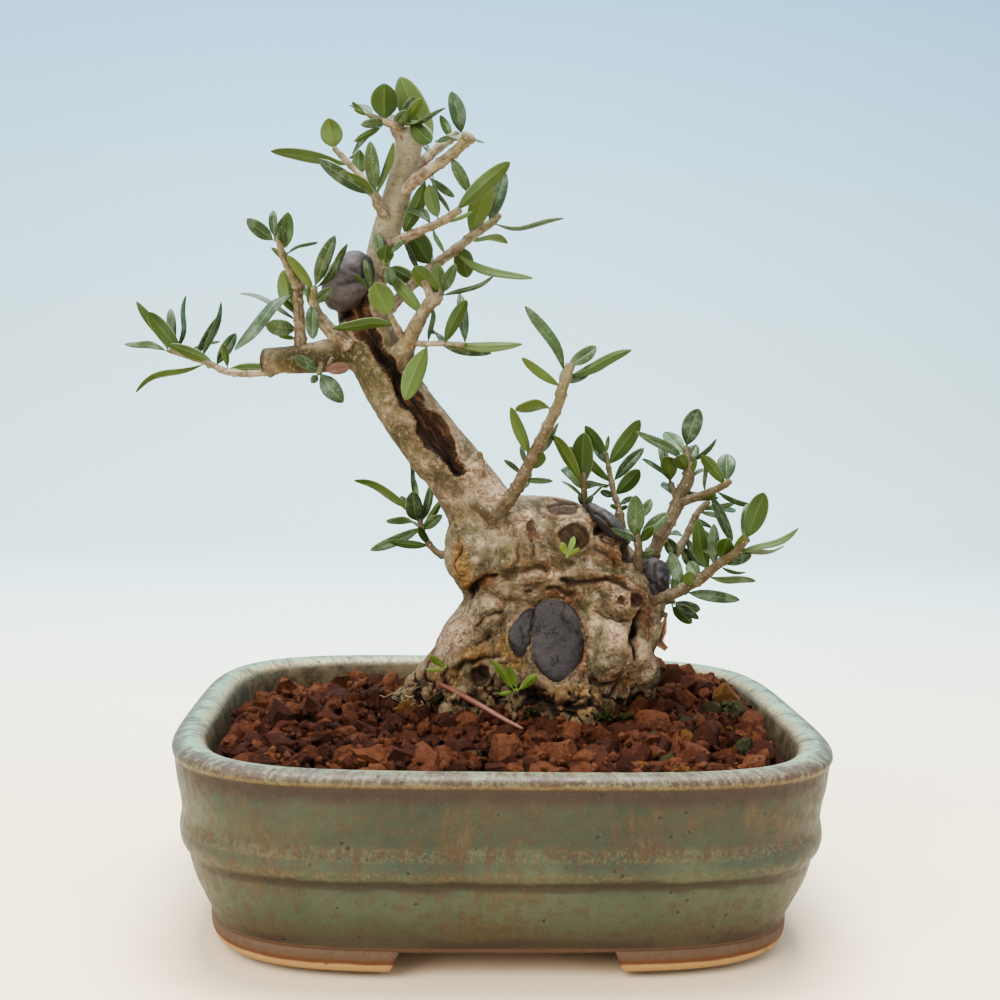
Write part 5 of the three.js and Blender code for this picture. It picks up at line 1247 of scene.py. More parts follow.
lumps = [  # swellings: x, z, y, half width, half height, half depth
    [31.6, 75.8, -5.5, 6.7, 4.6, 5.5], [28.3, 62, -7.5, 6.2, 9, 8], [35.5, 63, -3.5, 4, 7, 6],
    [17.4, 91.6, -4, 8.4, 8, 7.5], [-7, 85.5, -3, 7.5, 7.5, 8], [9, 77.8, -7.5, 12, 3.4, 4.5],
    [-8, 62, -4, 7, 8.5, 7], [37.5, 57, 1, 4.8, 6, 6], [18, 48, -9, 7.5, 7.5, 7.5],
    [14.8, 64, -6.8, 9.5, 13.5, 6], [4.8, 64.5, -7, 5, 8, 5.6], [23, 49, -7, 7, 5, 7],
    [-6, 54, -7, 5.6, 5.2, 5.5], [1, 57, -8, 6, 6, 5], [26, 87, -3, 7, 6, 7], [5, 94, -2, 7, 6, 7],
    [-3, 70, -5, 6, 6, 6], [38, 67, 1, 4, 6, 6],
]
# The darkness of a groove is the strength of the painted shade in its cut.
grooves = [  # width, depth, darkness, then the line's places
    [1.0, 1.4, 0.8, [[-9.5, 75.3], [-7.9, 76.6], [-5.7, 79.4], [-4.1, 80.6], [-0.2, 81.1]]],
    [1.2, 0.9, 0.35, [[-0.2, 81.1], [4.7, 81.9], [9.1, 82.8], [13.5, 82.6]]],
    [0.7, 0.9, 0.6, [[13.5, 82.2], [14.7, 81.0], [18.1, 79.1], [21.9, 79.6], [26.3, 80.4], [31.3, 78.9],
                     [36.4, 77.6]]],
    [0.6, 0.8, 0.7, [[11, 77.4], [14.5, 78.6], [17.5, 76.8], [20.5, 77.3]]],
    [0.7, 0.7, 0.5, [[-7.1, 66.8], [-3.9, 70.3], [1.6, 72.4]]],
    [0.9, 0.8, 0.6, [[-2.1, 66.1], [-3.7, 63.8], [-7.0, 62.1]]],
    [0.8, 1.2, 0.85, [[36.4, 73.5], [34.9, 69.2], [33.9, 65.2], [34.8, 61.3], [35.6, 58]]],
    [0.9, 0.9, 0.6, [[23.7, 55.4], [26.0, 52.7], [30.4, 53.3], [33.1, 56.4], [35.2, 60.2]]],
    [0.8, 1.0, 0.5, [[2.0, 60.4], [-3.6, 59.9], [-8.6, 57.8], [-11.3, 55.2], [-12.4, 51.8]]],
    [1.4, 1.7, 0.9, [[1.5, 52.5], [7.7, 51.1], [12.2, 47.8], [16.8, 42.9]]],
    [0.6, 0.6, 0.45, [[22.7, 72.8], [27.1, 70.7], [31.6, 70.2], [35.5, 70.9]]],
    [0.7, 0.7, 0.4, [[23.3, 89.0], [26.7, 86.9], [29.5, 84.1]]],
    [0.5, 0.5, 0.5, [[3.5, 90], [4.4, 86.5], [4.0, 84]]],
    [0.5, 0.5, 0.5, [[7.2, 90.5], [8.0, 87], [7.4, 84.5]]],
    [0.5, 0.5, 0.4, [[-11, 93], [-11.6, 89], [-10.8, 85]]],
]
ridges = [  # width, height, then the line's places
    [1.2, 0.9, [[0.4, 78.2], [4.7, 79.9], [9.1, 80.6], [12.5, 80.2]]],
    [0.9, 0.9, [[14.7, 83.0], [19.6, 83.2], [23.5, 82.6], [29.1, 81.0], [35.2, 79.6]]],
    [1.0, 0.7, [[-5.6, 65.0], [-2.4, 68.3], [2.2, 70.6]]],
    [1.8, 0.4, [[9.8, 53.9], [14.4, 50.9], [22.2, 49.8], [26.1, 47.0]]],
    [1.0, 0.6, [[24.5, 90.6], [28.0, 88.2], [31.0, 85.2]]],
    [1.2, 0.8, [[22.0, 75.5], [26.6, 73.0], [31.6, 72.4], [36, 73]]],
]
# A knot's darkness is the strength of the painted shade round its edge and of its dark inside.
knots = [  # x, z, radius, height for its width, depth, rim, darkness
    [18.3, 91.1, 3.3, 0.95, 0.8, 0.8, 0.9], [15.1, 98.6, 3.7, 0.42, 0.5, 0.5, 0.85],
    [31.2, 75.5, 0.8, 1.0, 0.8, 0.8, 0.8], [35.1, 75.3, 1.5, 1.05, 0.9, 0.6, 1.0],
    [-5.0, 54.6, 2.2, 1.15, 1.2, 0.8, 1.0], [7.0, 76.9, 0.9, 0.7, 0.7, 0.6, 0.8],
    [28.0, 58.0, 0.8, 1.0, -0.9, 0.3, 0.4], [32.6, 87.6, 2.5, 1.1, 1.8, 0.5, 1.0],
    [7.2, 94, 1.2, 1.2, 0.6, 0.5, 0.8], [-10.9, 47.2, 1.4, 1.0, 0.6, 0.3, 0.9],
    [-8.8, 147.6, 1.5, 1, 0.5, 0.3, 0.6], [24.8, 93.3, 1.3, 1.1, 0.7, 0.5, 0.9],
    [-2.4, 95.0, 1.3, 1, 0.3, 0.5, 0.6],
]
hollow = [  # the dead wood's middle line with its half width
    [-40.0, 149.5, 3.4], [-37.4, 145.5, 3.2], [-34.6, 141.6, 2.5], [-30.6, 135.5, 1.5],
    [-26.3, 129.5, 1.9], [-20.8, 121.5, 2.6], [-15.6, 114.2, 2.6], [-11.5, 107.5, 1.2],
]
greenPatches = [  # x, z, reach, strength
    [0, 84.5, 4, 0.8], [14, 84.5, 4, 0.8], [20.5, 73, 3.5, 0.8], [32, 63, 6, 0.45], [24, 66, 3, 0.5],
    [-4, 56, 5, 0.8], [-9, 71, 3.5, 0.6], [28, 85, 4, 0.6], [-18, 110, 6, 0.55], [-33, 132, 7, 0.5],
    [23, 80.5, 3, 0.5], [38, 60, 5, 0.6], [28, 49, 5, 0.5], [-50, 137, 8, 0.4], [-9, 92, 5, 0.35],
]
smoothPatches = [  # x, z, reach: places where the bark lies smooth
    [-3, 99, 8], [28, 63, 8.5], [6, 66, 6], [-12, 64, 7], [-10, 106, 7], [1, 85, 5], [26, 75, 4],
]
tints = {  # x, z, half width, half height, strength: places where the bark takes one colour
    "pinkish": [
        [-11.3, 67.7, 4.6, 6, 1], [-15.5, 59.5, 4.5, 5, 0.7], [-2.5, 101.5, 5.5, 6, 0.9],
        [-8, 107, 5, 5, 0.8], [5.5, 95.2, 3.5, 3, 0.9], [10.5, 81.5, 8, 1.3, 0.8],
        [30, 79.2, 6, 1.2, 0.8], [-2, 74, 4, 3, 0.6], [31.4, 75.4, 3, 2, 0.9], [37.8, 59, 3.5, 4, 0.9],
        [31, 52.5, 5.5, 5, 0.8], [36, 60, 4, 6, 0.8], [28.5, 66, 4, 5, 0.5], [18.3, 95.8, 5, 1.2, 0.8],
        [23.2, 91.5, 1.2, 4, 0.8], [30.5, 67, 2.4, 3.4, 0.5], [-14, 112, 4, 5, 0.6],
        [24, 70, 1.8, 5, 0.7], [2.6, 68, 2, 5, 0.5],
    ],
    "redBrown": [
        [14.5, 77.3, 5, 1.5, 1], [19, 75.6, 3, 1.4, 1], [37.6, 72.5, 2.2, 4.5, 0.9],
        [38.6, 67, 1.6, 3.5, 0.7], [-4.5, 79.8, 4, 2.6, 0.9], [29, 87.4, 4.5, 3.5, 0.7],
        [30, 92, 3, 2, 0.8], [23, 95.5, 3, 2, 0.6], [21.5, 58.5, 1.4, 6, 0.8], [23, 63, 1.1, 6, 0.6],
        [12.3, 83.6, 5, 0.8, 0.8], [28.5, 80.9, 6, 0.8, 0.9], [-3.3, 96, 2, 2, 0.9], [36, 78, 2, 2, 0.7],
        [8, 91.5, 2.6, 2.6, 0.7],
    ],
    "ochre": [
        [2, 62.8, 3.6, 3, 0.9], [-7, 60, 5, 3.6, 0.8], [20, 48.5, 8, 4.5, 0.9],
        [-10.5, 82.5, 3.4, 4.5, 0.8], [-9, 77.5, 3, 2.5, 0.7], [-11, 88, 2.4, 4, 0.5],
        [33, 54, 5, 4, 0.6], [4, 58, 4, 3, 0.8], [-14, 53, 6, 3, 0.8],
    ],
    # Partly olive-green bark, partly painted shade on the trunk's underside and its shaded left side.
    "oliveAndShade": [
        [28, 64, 5, 6, 0.2], [9, 88.5, 12, 4.5, 0.45], [-51, 135, 10, 4, 0.8], [-27, 116, 5, 5, 0.7],
        [-36, 131, 4, 8, 0.6], [26, 66, 2.5, 6, 0.35], [20.5, 73.5, 3.5, 3, 0.6], [15, 84.2, 5, 1.6, 0.7],
        [1.5, 81.5, 4, 2, 0.5], [31, 60, 3.4, 4, 0.25], [-6.5, 55, 3, 3, 0.7], [-40, 138, 5, 3, 0.8],
    ],
}


def stumpForm():  # an oval at every height, with flutes that wind up the front and back
    levels = throughStations(stumpLevels, 1.4)
    angle = np.linspace(0, 2 * np.pi, 84, endpoint=False)[None]
    z, left, right, half = (levels[:, i][:, None] for i in range(4))
    wave = np.sin(angle) ** 2 * np.sin(wood["flutes"] * angle + wood["fluteTwist"] * z)
    middle = placeAt((left + right) / 2 + (right - left) / 2 * np.cos(angle), z, stumpDepth)
    points = middle + turned(0, half * (1 + wood["fluteDepth"] * wave) * np.sin(angle), 0)
    return closedGrid(points)


def stemPath(stations, step):  # a stem's places and radii, one about every step
    rows = throughStations(stations, step)
    return placeAt(rows[:, 0], rows[:, 1], rows[:, 3]), rows[:, 2]


def limbForm(stations, sides=20):  # a round limb through its stations
    return tubeOf(*stemPath(stations, 1.2), sides)


def ovalForm(centre, halves, rows=18, columns=28):  # a ball with its own half width, depth and height
    polar = np.linspace(0, np.pi, rows)[1:-1, None]
    angle = np.linspace(0, 2 * np.pi, columns, endpoint=False)[None]
    a, b, c = halves
    points = np.stack(np.broadcast_arrays(
        a * np.sin(polar) * np.cos(angle), b * np.sin(polar) * np.sin(angle), c * np.cos(polar)), -1)
    form = closedGrid(points, [[0, 0, c], [0, 0, -c]], True)
    form["points"] = turned(*form["points"].T) + centre
    return form


def oneSkin(shape, voxel):  # several closed forms as one skin of even small faces
    mesh = bpy.data.meshes.new("rough")
    faces = [row.tolist() for row in shape["quads"]] + [row.tolist() for row in shape["tris"]]
    mesh.from_pydata(shape["points"].tolist(), [], faces)
    work = bpy.data.objects.new("rough", mesh)
    bpy.context.collection.objects.link(work)
    skin = work.modifiers.new("skin", "REMESH")
    skin.mode = "VOXEL"
    skin.voxel_size = voxel
    bpy.context.view_layer.update()
    done = work.evaluated_get(bpy.context.evaluated_depsgraph_get()).to_mesh()
    points = np.empty(len(done.vertices) * 3)
    done.vertices.foreach_get("co", points)
    corners = np.empty(len(done.loops), dtype=np.int32)
    done.loops.foreach_get("vertex_index", corners)
    totals = np.empty(len(done.polygons), dtype=np.int32)
    done.polygons.foreach_get("loop_total", totals)
    starts = np.concatenate([[0], np.cumsum(totals)[:-1]])
    quads = corners[starts[totals == 4][:, None] + np.arange(4)]
    tris = corners[starts[totals == 3][:, None] + np.arange(3)]
    bpy.data.objects.remove(work)
    return {"points": points.reshape(-1, 3), "quads": quads, "tris": tris}


def facing(points, quads, tris):  # the outward direction at each point
    corners = np.concatenate([tris, quads[:, [0, 1, 2]], quads[:, [0, 2, 3]]])
    a, b, c = points[corners[:, 0]], points[corners[:, 1]], points[corners[:, 2]]
    area = np.cross(b - a, c - a)
    total = np.zeros_like(points)
    for axis in range(3):
        for corner in range(3):
            total[:, axis] += np.bincount(corners[:, corner], area[:, axis], len(points))
    return total / np.maximum(np.linalg.norm(total, axis=1), 1e-12)[:, None]


def relaxed(values, quads, times, share):  # each point's values moved towards its neighbours' mean
    edges = np.concatenate([quads[:, [i, (i + 1) % 4]] for i in range(4)])
    edges = np.unique(np.sort(edges, 1), axis=0)
    near, far = np.concatenate([edges, edges[:, ::-1]]).T
    flat = values.reshape(len(values), -1)
    count = np.maximum(np.bincount(near, minlength=len(flat)), 1)[:, None]
    for _ in range(times):
        mean = np.stack([np.bincount(near, column[far], len(flat)) for column in flat.T], -1) / count
        flat = flat + share * (mean - flat)
    return flat.reshape(values.shape)


def weatheredWood(skin):
    # Moves each point along its normal by noise, cracks, grooves, ridges, knots, the hollow and the rims
    # of the wounds, and says how much painted shade falls in its cracks and recesses and how green, dead
    # and flaked it is there.
    points = relaxed(skin["points"], skin["quads"], wood["smoothing"], 0.6)
    normals = facing(points, skin["quads"], skin["tris"])
    x, z, depth = seenAs(points)
    front = ramp((normals * unit(eye - points)).sum(1), -0.05, 0.3)
    onStump = 1 - ramp(z + 0.6 * x, 88, 104)
    young = ramp(z, 148, 160)
    rough = 0.32 + 0.68 * onStump - 0.1 * young
    for px, pz, reach in smoothPatches:
        rough = rough * (1 - 0.75 * bell(np.hypot(x - px, z - pz), reach))
    rough = rough * (1 + 0.5 * (1 - ramp(z, 46, 60)))
    quiet = np.ones(len(points))
    for patch in wounds.values():
        reach = patchReach(patch, x, z)
        quiet = np.minimum(quiet, 1 - front * (1 - ramp(reach, 0.98, 1.14)))
    warp = np.stack([softNoise(points, 6, 40 + i) for i in range(3)], -1) * wood["warp"]
    grain = (points + warp) * [1, 1, 0.75]
    move = wood["lumps"] * layeredNoise(points, wood["lumpSize"], 3, 3) * (0.35 + 0.65 * rough) * quiet
    move += wood["roughness"] * layeredNoise(grain, wood["roughnessSize"], 4, 11) * rough * quiet
    folds = 1 - np.abs(layeredNoise(grain * [0.8, 0.8, 1.3], wood["foldSize"], 3, 19)) * 2.2
    move += wood["folds"] * (folds - 0.5) * rough * quiet
    bent = (points + 1.6 * warp) * [0.6, 0.6, 1.5]
    wrinkles = 1 - 2.4 * np.abs(layeredNoise(bent, wood["wrinkleSize"], 3, 27))
    calm = 0.25 + 0.75 * rough
    move += wood["wrinkles"] * (wrinkles - 0.5) * calm * quiet
    vein = softNoise(grain, wood["crackSpacing"], 23)
    where = ramp(layeredNoise(points, 12, 2, 31), -0.1, 0.3)
    valley = bell(vein, 0.09) * where * rough * quiet
    move -= wood["crackDepth"] * valley
    # Painted shade in the cracks.
    creviceShade = 0.7 * valley
    flake = bell(vein, 0.35) * where * rough * quiet
    low = 1 - ramp(z, 49, 60)
    crumbly = np.maximum(low, 0.35 * ramp(layeredNoise(points, 9, 2, 57), 0.1, 0.4)) * rough * quiet
    knobs = 1 - 2 * np.abs(layeredNoise(grain, 2.1, 3, 63))
    pits = 1 - 2 * np.abs(layeredNoise(grain, 3.1, 2, 66))
    move += wood["crust"] * (0.7 * (knobs - 0.6) - 0.8 * ramp(pits, 0.76, 0.98)) * crumbly
    caves = ramp(layeredNoise(points * [1, 1, 1.5], 7, 2, 69), 0.18, 0.42) * low * (1 - ramp(z, 47, 54))
    move -= wood["caveDepth"] * caves * front
    # Painted shade in the caves, the crust's pits and between its knobs.
    creviceShade += (0.5 * ramp(pits, 0.76, 0.98) + 0.15 * ramp(-knobs, -0.45, -0.1)) * crumbly + 0.7 * caves
    shift = 1.1 * np.stack([layeredNoise(points, 3.4, 2, 61), layeredNoise(points, 3.4, 2, 62)], -1)
    gx, gz = x + shift[:, 0], z + shift[:, 1]
    vary = 1 + 0.55 * softNoise(points, 4.3, 64)
    for width, deep, dark, line in grooves:
        gap, along, _ = lineGap(gx, gz, line)
        fade = ramp(along, -0.01, 0.12) * (1 - ramp(along, 0.86, 1.01)) * front * quiet
        cut = bell(gap, width * vary) * fade * (0.55 + 0.45 * vary)
        lip = bell(gap - 1.9 * width * vary, width) * fade
        move += -deep * cut + 0.35 * deep * lip
        # Painted shade in the groove's cut.
        creviceShade = np.maximum(creviceShade, dark * cut)
        flake = np.maximum(flake, lip)
    for width, high, line in ridges:
        gap, along, _ = lineGap(gx, gz, line)
        fade = ramp(along, -0.01, 0.2) * (1 - ramp(along, 0.8, 1.01)) * front * quiet
        move += high * bell(gap, width * vary) * fade
    dead = np.zeros(len(points))
    knotGrain = layeredNoise(points, 2.4, 3, 67)
    for px, pz, radius, tall, deep, rim, dark in knots:
        gap = np.hypot(gx - px, (gz - pz) / tall) / radius
        inner = (1 - ramp(gap, 0.72, 1.0)) * front
        ring = bell(gap - 1.28, 0.26) * front
        lines = np.cos(gap * 9.0) * bell(gap - 1.75, 0.6) * front
        move += -deep * inner * (1 + 0.35 * knotGrain) + rim * ring * 0.8 + 0.2 * lines
        # Painted shade round the knot's edge and where its rings sink.
        creviceShade = np.maximum(creviceShade, dark * bell(gap - 0.98, 0.16) * front)
        creviceShade = np.maximum(creviceShade, 0.35 * np.clip(-lines, 0, 1))
        dead = np.maximum(dead, inner * dark)
        flake = np.maximum(flake, 0.7 * bell(gap - 1.1, 0.3) * front)
    line = np.array(hollow)
    gap, along, side = lineGap(gx, gz, line)
    lengths = runAlong(line[:, :2])
    width = np.interp(along, lengths / lengths[-1], line[:, 2])
    frayed = 1 + 0.42 * softNoise(np.stack([along * lengths[-1], side * 0, side * 0], -1), 4, 71)
    gap = gap / (width * frayed)
    bed = (1 - ramp(gap, 0.62, 1.02)) * front
    lip = bell(gap - 1.32, 0.24) * front * ramp(along, 0.02, 0.1)
    fibre = np.stack([side, along * lengths[-1] * 0.13, depth * 0.2], -1)
    splinters = layeredNoise(fibre, 1.3, 3, 73)
    move += wood["hollowLip"] * lip * (1 + 0.6 * splinters)
    move -= wood["hollowDepth"] * bed * (1 - 0.6 * splinters)
    # Painted shade along the hollow's edge.
    creviceShade = np.maximum(creviceShade * (1 - bed), bell(gap - 0.95, 0.13) * front)
    dead = np.maximum(dead, (1 - ramp(gap, 0.85, 1.08)) * front)
    flake = np.maximum(flake, 0.8 * lip)
    for patch in wounds.values():
        reach = patchReach(patch, x, z)
        ring = bell(reach - 1.16, 0.09) * front
        move += wood["woundRim"] * ring * patch["rim"]
        move -= 0.25 * (1 - ramp(reach, 0.96, 1.06)) * front
        flake = np.maximum(flake, 0.8 * bell(reach - 1.07, 0.05) * front)
        # Painted shade: a dark line where the paste meets the wood.
        creviceShade = np.maximum(creviceShade, 0.7 * bell(reach - 1.015, 0.02) * front)
    sawn = ramp(-x, 61.6, 62.4) * (1 - ramp(np.abs(z - 134.9), 3.4, 4.2))
    dead = np.maximum(dead, 0.85 * sawn)
    fineHeight = move - relaxed(move, skin["quads"], 6, 1)
    # Painted shade in the low spots of the fine relief.
    creviceShade = creviceShade + 0.55 * np.clip(-fineHeight - 0.12, 0, 1)
    green = np.full(len(points), 0.3)
    for px, pz, reach, strength in greenPatches:
        green += strength * bell(np.hypot(x - px, z - pz), reach)
    tint = []
    for places in tints.values():
        share = np.zeros(len(points))
        for px, pz, reachX, reachZ, strength in places:
            share += strength * np.exp(-(((gx - px) / reachX) ** 2 + ((gz - pz) / reachZ) ** 2) ** 1.5)
        tint.append(np.clip(share * (0.3 + 0.7 * front), 0, 1))
    tint = np.stack(tint, -1)
    return {
        "points": points + normals * move[:, None],
        "quads": skin["quads"],
        "tris": skin["tris"],
        "wood": np.clip([creviceShade, green, dead, flake], 0, [[1.3], [1], [1], [1]]).T,
        "tint": tint,
        "fibre": np.concatenate([fibre / 1000, np.ones((len(points), 1))], -1),
    }


# Wound paste

wounds = {  # seen outline, how thick it stands, and how strong the callus rim round it is
    "paste_wound_large": {
        "outline": [[8.8, 73.2], [11.6, 75.3], [15.8, 75.2], [19.1, 72.4], [21.4, 67.6], [21.8, 62.8],
                    [20.5, 57.3], [18.4, 54.3], [15.3, 53.0], [12.3, 54.7], [9.6, 57.8], [8.3, 61.1],
                    [8.0, 65.4], [8.7, 69.8]],
        "thick": 0.7,
        "rim": 0.8,
        "cuts": [[[12.9, 73.4], [13.5, 72.0], [14.1, 70.8], [16.7, 69.9], [17.9, 68.4]],
                 [[11.3, 69.2], [10.2, 68.4], [9.6, 67.4]], [[18.1, 68.2], [18.6, 66.4]]],
    },
    "paste_wound_small": {
        "outline": [[4.8, 69.9], [6.6, 72.0], [8.9, 73.4], [9.0, 71.6], [7.9, 69.2], [7.3, 66.4], [7.2, 62.5],
                    [6.4, 59.7], [4.4, 59.7], [2.9, 62.0], [2.3, 65.0], [3.0, 67.8]],
        "thick": 0.7,
        "rim": 0.5,
        "cuts": [[[3.2, 63.0], [4.0, 61.0]], [[5.4, 67.6], [6.2, 64.6]]],
    },
}
clods = {  # centre x, z, y, half width, depth and height, lean, dents, creases
    "paste_shoulder": [27.4, 95.0, -4.6, 7.2, 6, 2.3, -0.72, 1.5, [
        [[23.4, 98.0], [26.0, 96.6], [28.4, 93.6]],
    ]],
    "paste_knuckle": [39.8, 81.2, 0, 4.0, 5.5, 5.8, 0.2, 1.5, [
        [[39.9, 84.6], [39.9, 81.4], [40.6, 78.2], [42.0, 76.6]], [[41.4, 80.8], [43.0, 79.2]],
        [[37.6, 80.2], [39.6, 79.4]],
    ]],
    "paste_ball": [-40.4, 155.5, -0.5, 6.3, 6.6, 8.2, -0.5, 0.6, [
        [[-43.5, 154.6], [-41, 155.0], [-37.9, 155.8], [-35.2, 158.0]], [[-39.4, 158.7], [-38.6, 158.2]],
        [[-39.6, 164.8], [-37.6, 164.6]],
    ]],
}


def polarOutline(patch):  # an outline's middle, and the directions and distances of its corners from it
    outline = np.array(patch["outline"])
    middle = outline.mean(0)
    angles = np.arctan2(outline[:, 1] - middle[1], outline[:, 0] - middle[0])
    order = np.argsort(angles)
    return middle, angles[order], np.hypot(*(outline - middle).T)[order]


def patchReach(patch, x, z):  # distance from a patch's middle as a share of its outline's in that direction
    middle, angles, radii = polarOutline(patch)
    edge = np.interp(np.arctan2(z - middle[1], x - middle[0]), angles, radii, period=2 * np.pi)
    return np.hypot(x - middle[0], z - middle[1]) / edge


def patchForm(patch, points):  # a thin lens laid on the wood: a smooth surface fitted to the wood below it
    x, z, depth = seenAs(points)
    below = (patchReach(patch, x, z) < 1.05) & (depth < 2)
    middle, angles, radii = polarOutline(patch)

    def terms(u, w):
        u, w = u - middle[0], w - middle[1]
        return np.stack([np.ones_like(u), u, w, u * u, u * w, w * w], -1)

    fit = np.linalg.lstsq(terms(x[below], z[below]), depth[below], rcond=None)[0]
    angle = np.linspace(-np.pi, np.pi, 72, endpoint=False)
    edge = np.interp(angle, angles, radii, period=2 * np.pi)
    edge = (np.roll(edge, 1) + 2 * edge + np.roll(edge, -1)) / 4
    shown = [0.04, 0.15, 0.3, 0.45, 0.6, 0.72, 0.82, 0.89, 0.94, 0.975, 1.0]
    share = np.array(shown + [0.99, 0.8, 0.4])
    u = middle[0] + share[:, None] * edge * np.cos(angle)
    w = middle[1] + share[:, None] * edge * np.sin(angle)
    base = terms(u.ravel(), w.ravel()) @ fit
    spread = np.repeat(share, len(angle))
    rise = patch["thick"] * (1 - np.clip(spread, 0, 1) ** 12) - 0.1
    spots = np.stack([u.ravel(), w.ravel(), base * 0], -1)
    rise += 0.25 * layeredNoise(spots, 6, 3, 81) + 0.12 * layeredNoise(spots, 1.6, 3, 83)
    cut = np.zeros(len(spread))
    for line in patch["cuts"]:
        gap, _, _ = lineGap(u.ravel(), w.ravel(), line)
        cut = np.maximum(cut, bell(gap, 0.2))
    rise -= 0.35 * cut
    behind = np.arange(len(spread)) >= len(shown) * len(angle)
    rise = np.where(behind, -1.6, rise)
    rim = np.concatenate([np.where(behind, 1.0, spread), [0, 1]])
    points = placeAt(u.ravel(), w.ravel(), base - rise).reshape(u.shape + (3,))
    return closedGrid(points, flipped=True, rim=rim, cut=np.concatenate([cut, [0, 0]]))


def clodForm(x, z, y, a, b, c, lean, dents, creases):  # a ball of paste, dented, with creases pressed in
    form = ovalForm(np.zeros(3), (a, b, c), 40, 56)
    points = form["points"]
    cosine, sine = math.cos(lean), math.sin(lean)
    points = np.stack([points[:, 0] * cosine - points[:, 2] * sine, points[:, 1],
                       points[:, 0] * sine + points[:, 2] * cosine], -1)
    outward = unit(points)
    points = points + placeAt(x, z, y)
    seenX, seenZ, _ = seenAs(points)
    move = dents * layeredNoise(points, 4.5, 3, 91) + 0.4 * layeredNoise(points, 2.1, 3, 95)
    cut = np.zeros(len(points))
    for line in creases:
        gap, _, _ = lineGap(seenX, seenZ, line)
        cut = np.maximum(cut, bell(gap, 0.4))
    form["points"] = points + outward * (move - 0.8 * cut)[:, None]
    form["rim"] = np.zeros(len(points))
    form["cut"] = cut * 0.6
    return form


def makeWood():  # stump, limbs, roots and lumps melted to one skin, then weathered; paste fitted on it
    forms = [stumpForm()] + [limbForm(stations) for stations in limbs + roots]
    forms += [ovalForm(placeAt(x, z, y), (a, b, c)) for x, z, y, a, c, b in lumps]
    for form in forms:
        form.pop("along", None)
    skin = oneSkin(together(forms), wood["voxel"])
    bark = weatheredWood(skin)
    piece = pieceFrom("olive_wood", bark, [barkFinish()], "bark", ["trunk"])
    print("wood:", len(piece.data.polygons), "faces")
    paste = pasteFinish()
    # Painted light: a paler copy of the paste for the ball, which stands in more light than the wound paste.
    paintedLightPaste = pasteFinish("woundPastePaintedLight", 0.215, 0.32)
    for name, patch in wounds.items():
        patchPiece = pieceFrom(name + "_skin", patchForm(patch, bark["points"]), [paste], "paste", [name])
        outwards(patchPiece)
    for name, place in clods.items():
        # The ball takes the paler copy of the paste, as painted light.
        finish = paintedLightPaste if name == "paste_ball" else paste
        clod = pieceFrom(name + "_skin", clodForm(*place), [finish], "paste", [name])
        outwards(clod)
    print("wound paste done")
    return bark


# Leaves and twigs

leafShape = {
    "thickness": 0.46,
    "arch": 0.06,
    "slimShare": 0.2,
    "fold": [0.04, 0.3],
    "sickle": 0.035,
    "curl": 0.05,
    "wave": 0.05,
    "rib": [0.16, 0.2],  # how deep it lies above and how far it stands out below
    "vein": 0.05,
    "petiole": 0.42,
    "rearLength": [9, 15],
    "rearSlimness": [0.26, 0.4],
    "rearStalk": 1.6,
    "seed": 4711,
}
leafRows = np.array([  # place along the blade and share of its full width
    [0.0, 0.09], [0.03, 0.17], [0.08, 0.36], [0.15, 0.58], [0.24, 0.79], [0.35, 0.93], [0.47, 1.0],
    [0.59, 0.99], [0.7, 0.92], [0.8, 0.79], [0.88, 0.62], [0.94, 0.43], [0.98, 0.23], [1.0, 0.08],
])
leafAcross = np.array([-1, -0.8, -0.5, -0.2, -0.07, 0, 0.07, 0.2, 0.5, 0.8])
leafRing = np.concatenate([leafAcross, [1], leafAcross[:0:-1]])
leafUpper = np.concatenate([[0.5], np.ones(9), [0.5], np.zeros(9)])


def rolled(vector, axis, angle):  # a vector turned about an axis at right angles to it
    return vector * math.cos(angle) + np.cross(axis, vector) * math.sin(angle)


def stemPoint(stems, x, z):  # the stem's place nearest to x, z as seen
    best, nearest = None, 1e9
    for stations in stems:
        for (ax, az, _, ay), (bx, bz, _, by) in zip(stations[:-1], stations[1:]):
            t = ((x - ax) * (bx - ax) + (z - az) * (bz - az)) / ((bx - ax) ** 2 + (bz - az) ** 2)
            t = min(max(t, 0), 1)
            spot = (ax + (bx - ax) * t, az + (bz - az) * t, ay + (by - ay) * t)
            gap = math.hypot(spot[0] - x, spot[1] - z)
            if gap < nearest:
                best, nearest = spot, gap
    return best


def seenLeaf(stems, entry):  # rolled about its length until it looks as wide as it was measured
    baseX, baseZ, tipX, tipZ, width, depth = entry
    side, width = math.copysign(1, width), abs(width)
    rootX, rootZ, rootY = stemPoint(stems, baseX, baseZ)
    base = placeAt(baseX, baseZ, rootY)
    tip = placeAt(tipX, tipZ, rootY + depth)
    axis = unit(tip - base)
    fullWidth = max(width, leafShape["slimShare"] * np.linalg.norm(tip - base))
    towards = eye - base
    towards = unit(towards - axis * towards.dot(axis))
    normal = rolled(towards, axis, math.acos(min(width / fullWidth, 1)) * side) * side
    return placeAt(rootX, rootZ, rootY), base, tip, fullWidth, normal


def rearLeaf(stems, index, count, draw):  # a leaf behind the stem, drawn at random
    stations = np.array(stems[0], float)
    place = (0.35 + 0.65 * (index + 0.5) / count) * (len(stations) - 1)
    i = min(int(place), len(stations) - 2)
    x, z, _, y = stations[i] + (stations[i + 1] - stations[i]) * (place - i)
    root = placeAt(x, z, y)
    swing = (1 if index % 2 else -1) * (0.25 + 0.75 * draw())
    axis = unit(turned(swing, 0.55 + 0.6 * draw(), -0.15 + 0.8 * draw()))
    low, high = leafShape["rearLength"]
    length = low + (high - low) * draw()
    low, high = leafShape["rearSlimness"]
    width = length * (low + (high - low) * draw())
    base = root + axis * leafShape["rearStalk"]
    normal = unit(np.array([0, 0, 1.0]) - axis * axis[2])
    return root, base, base + axis * length, width, rolled(normal, axis, (draw() - 0.5) * 1.2)


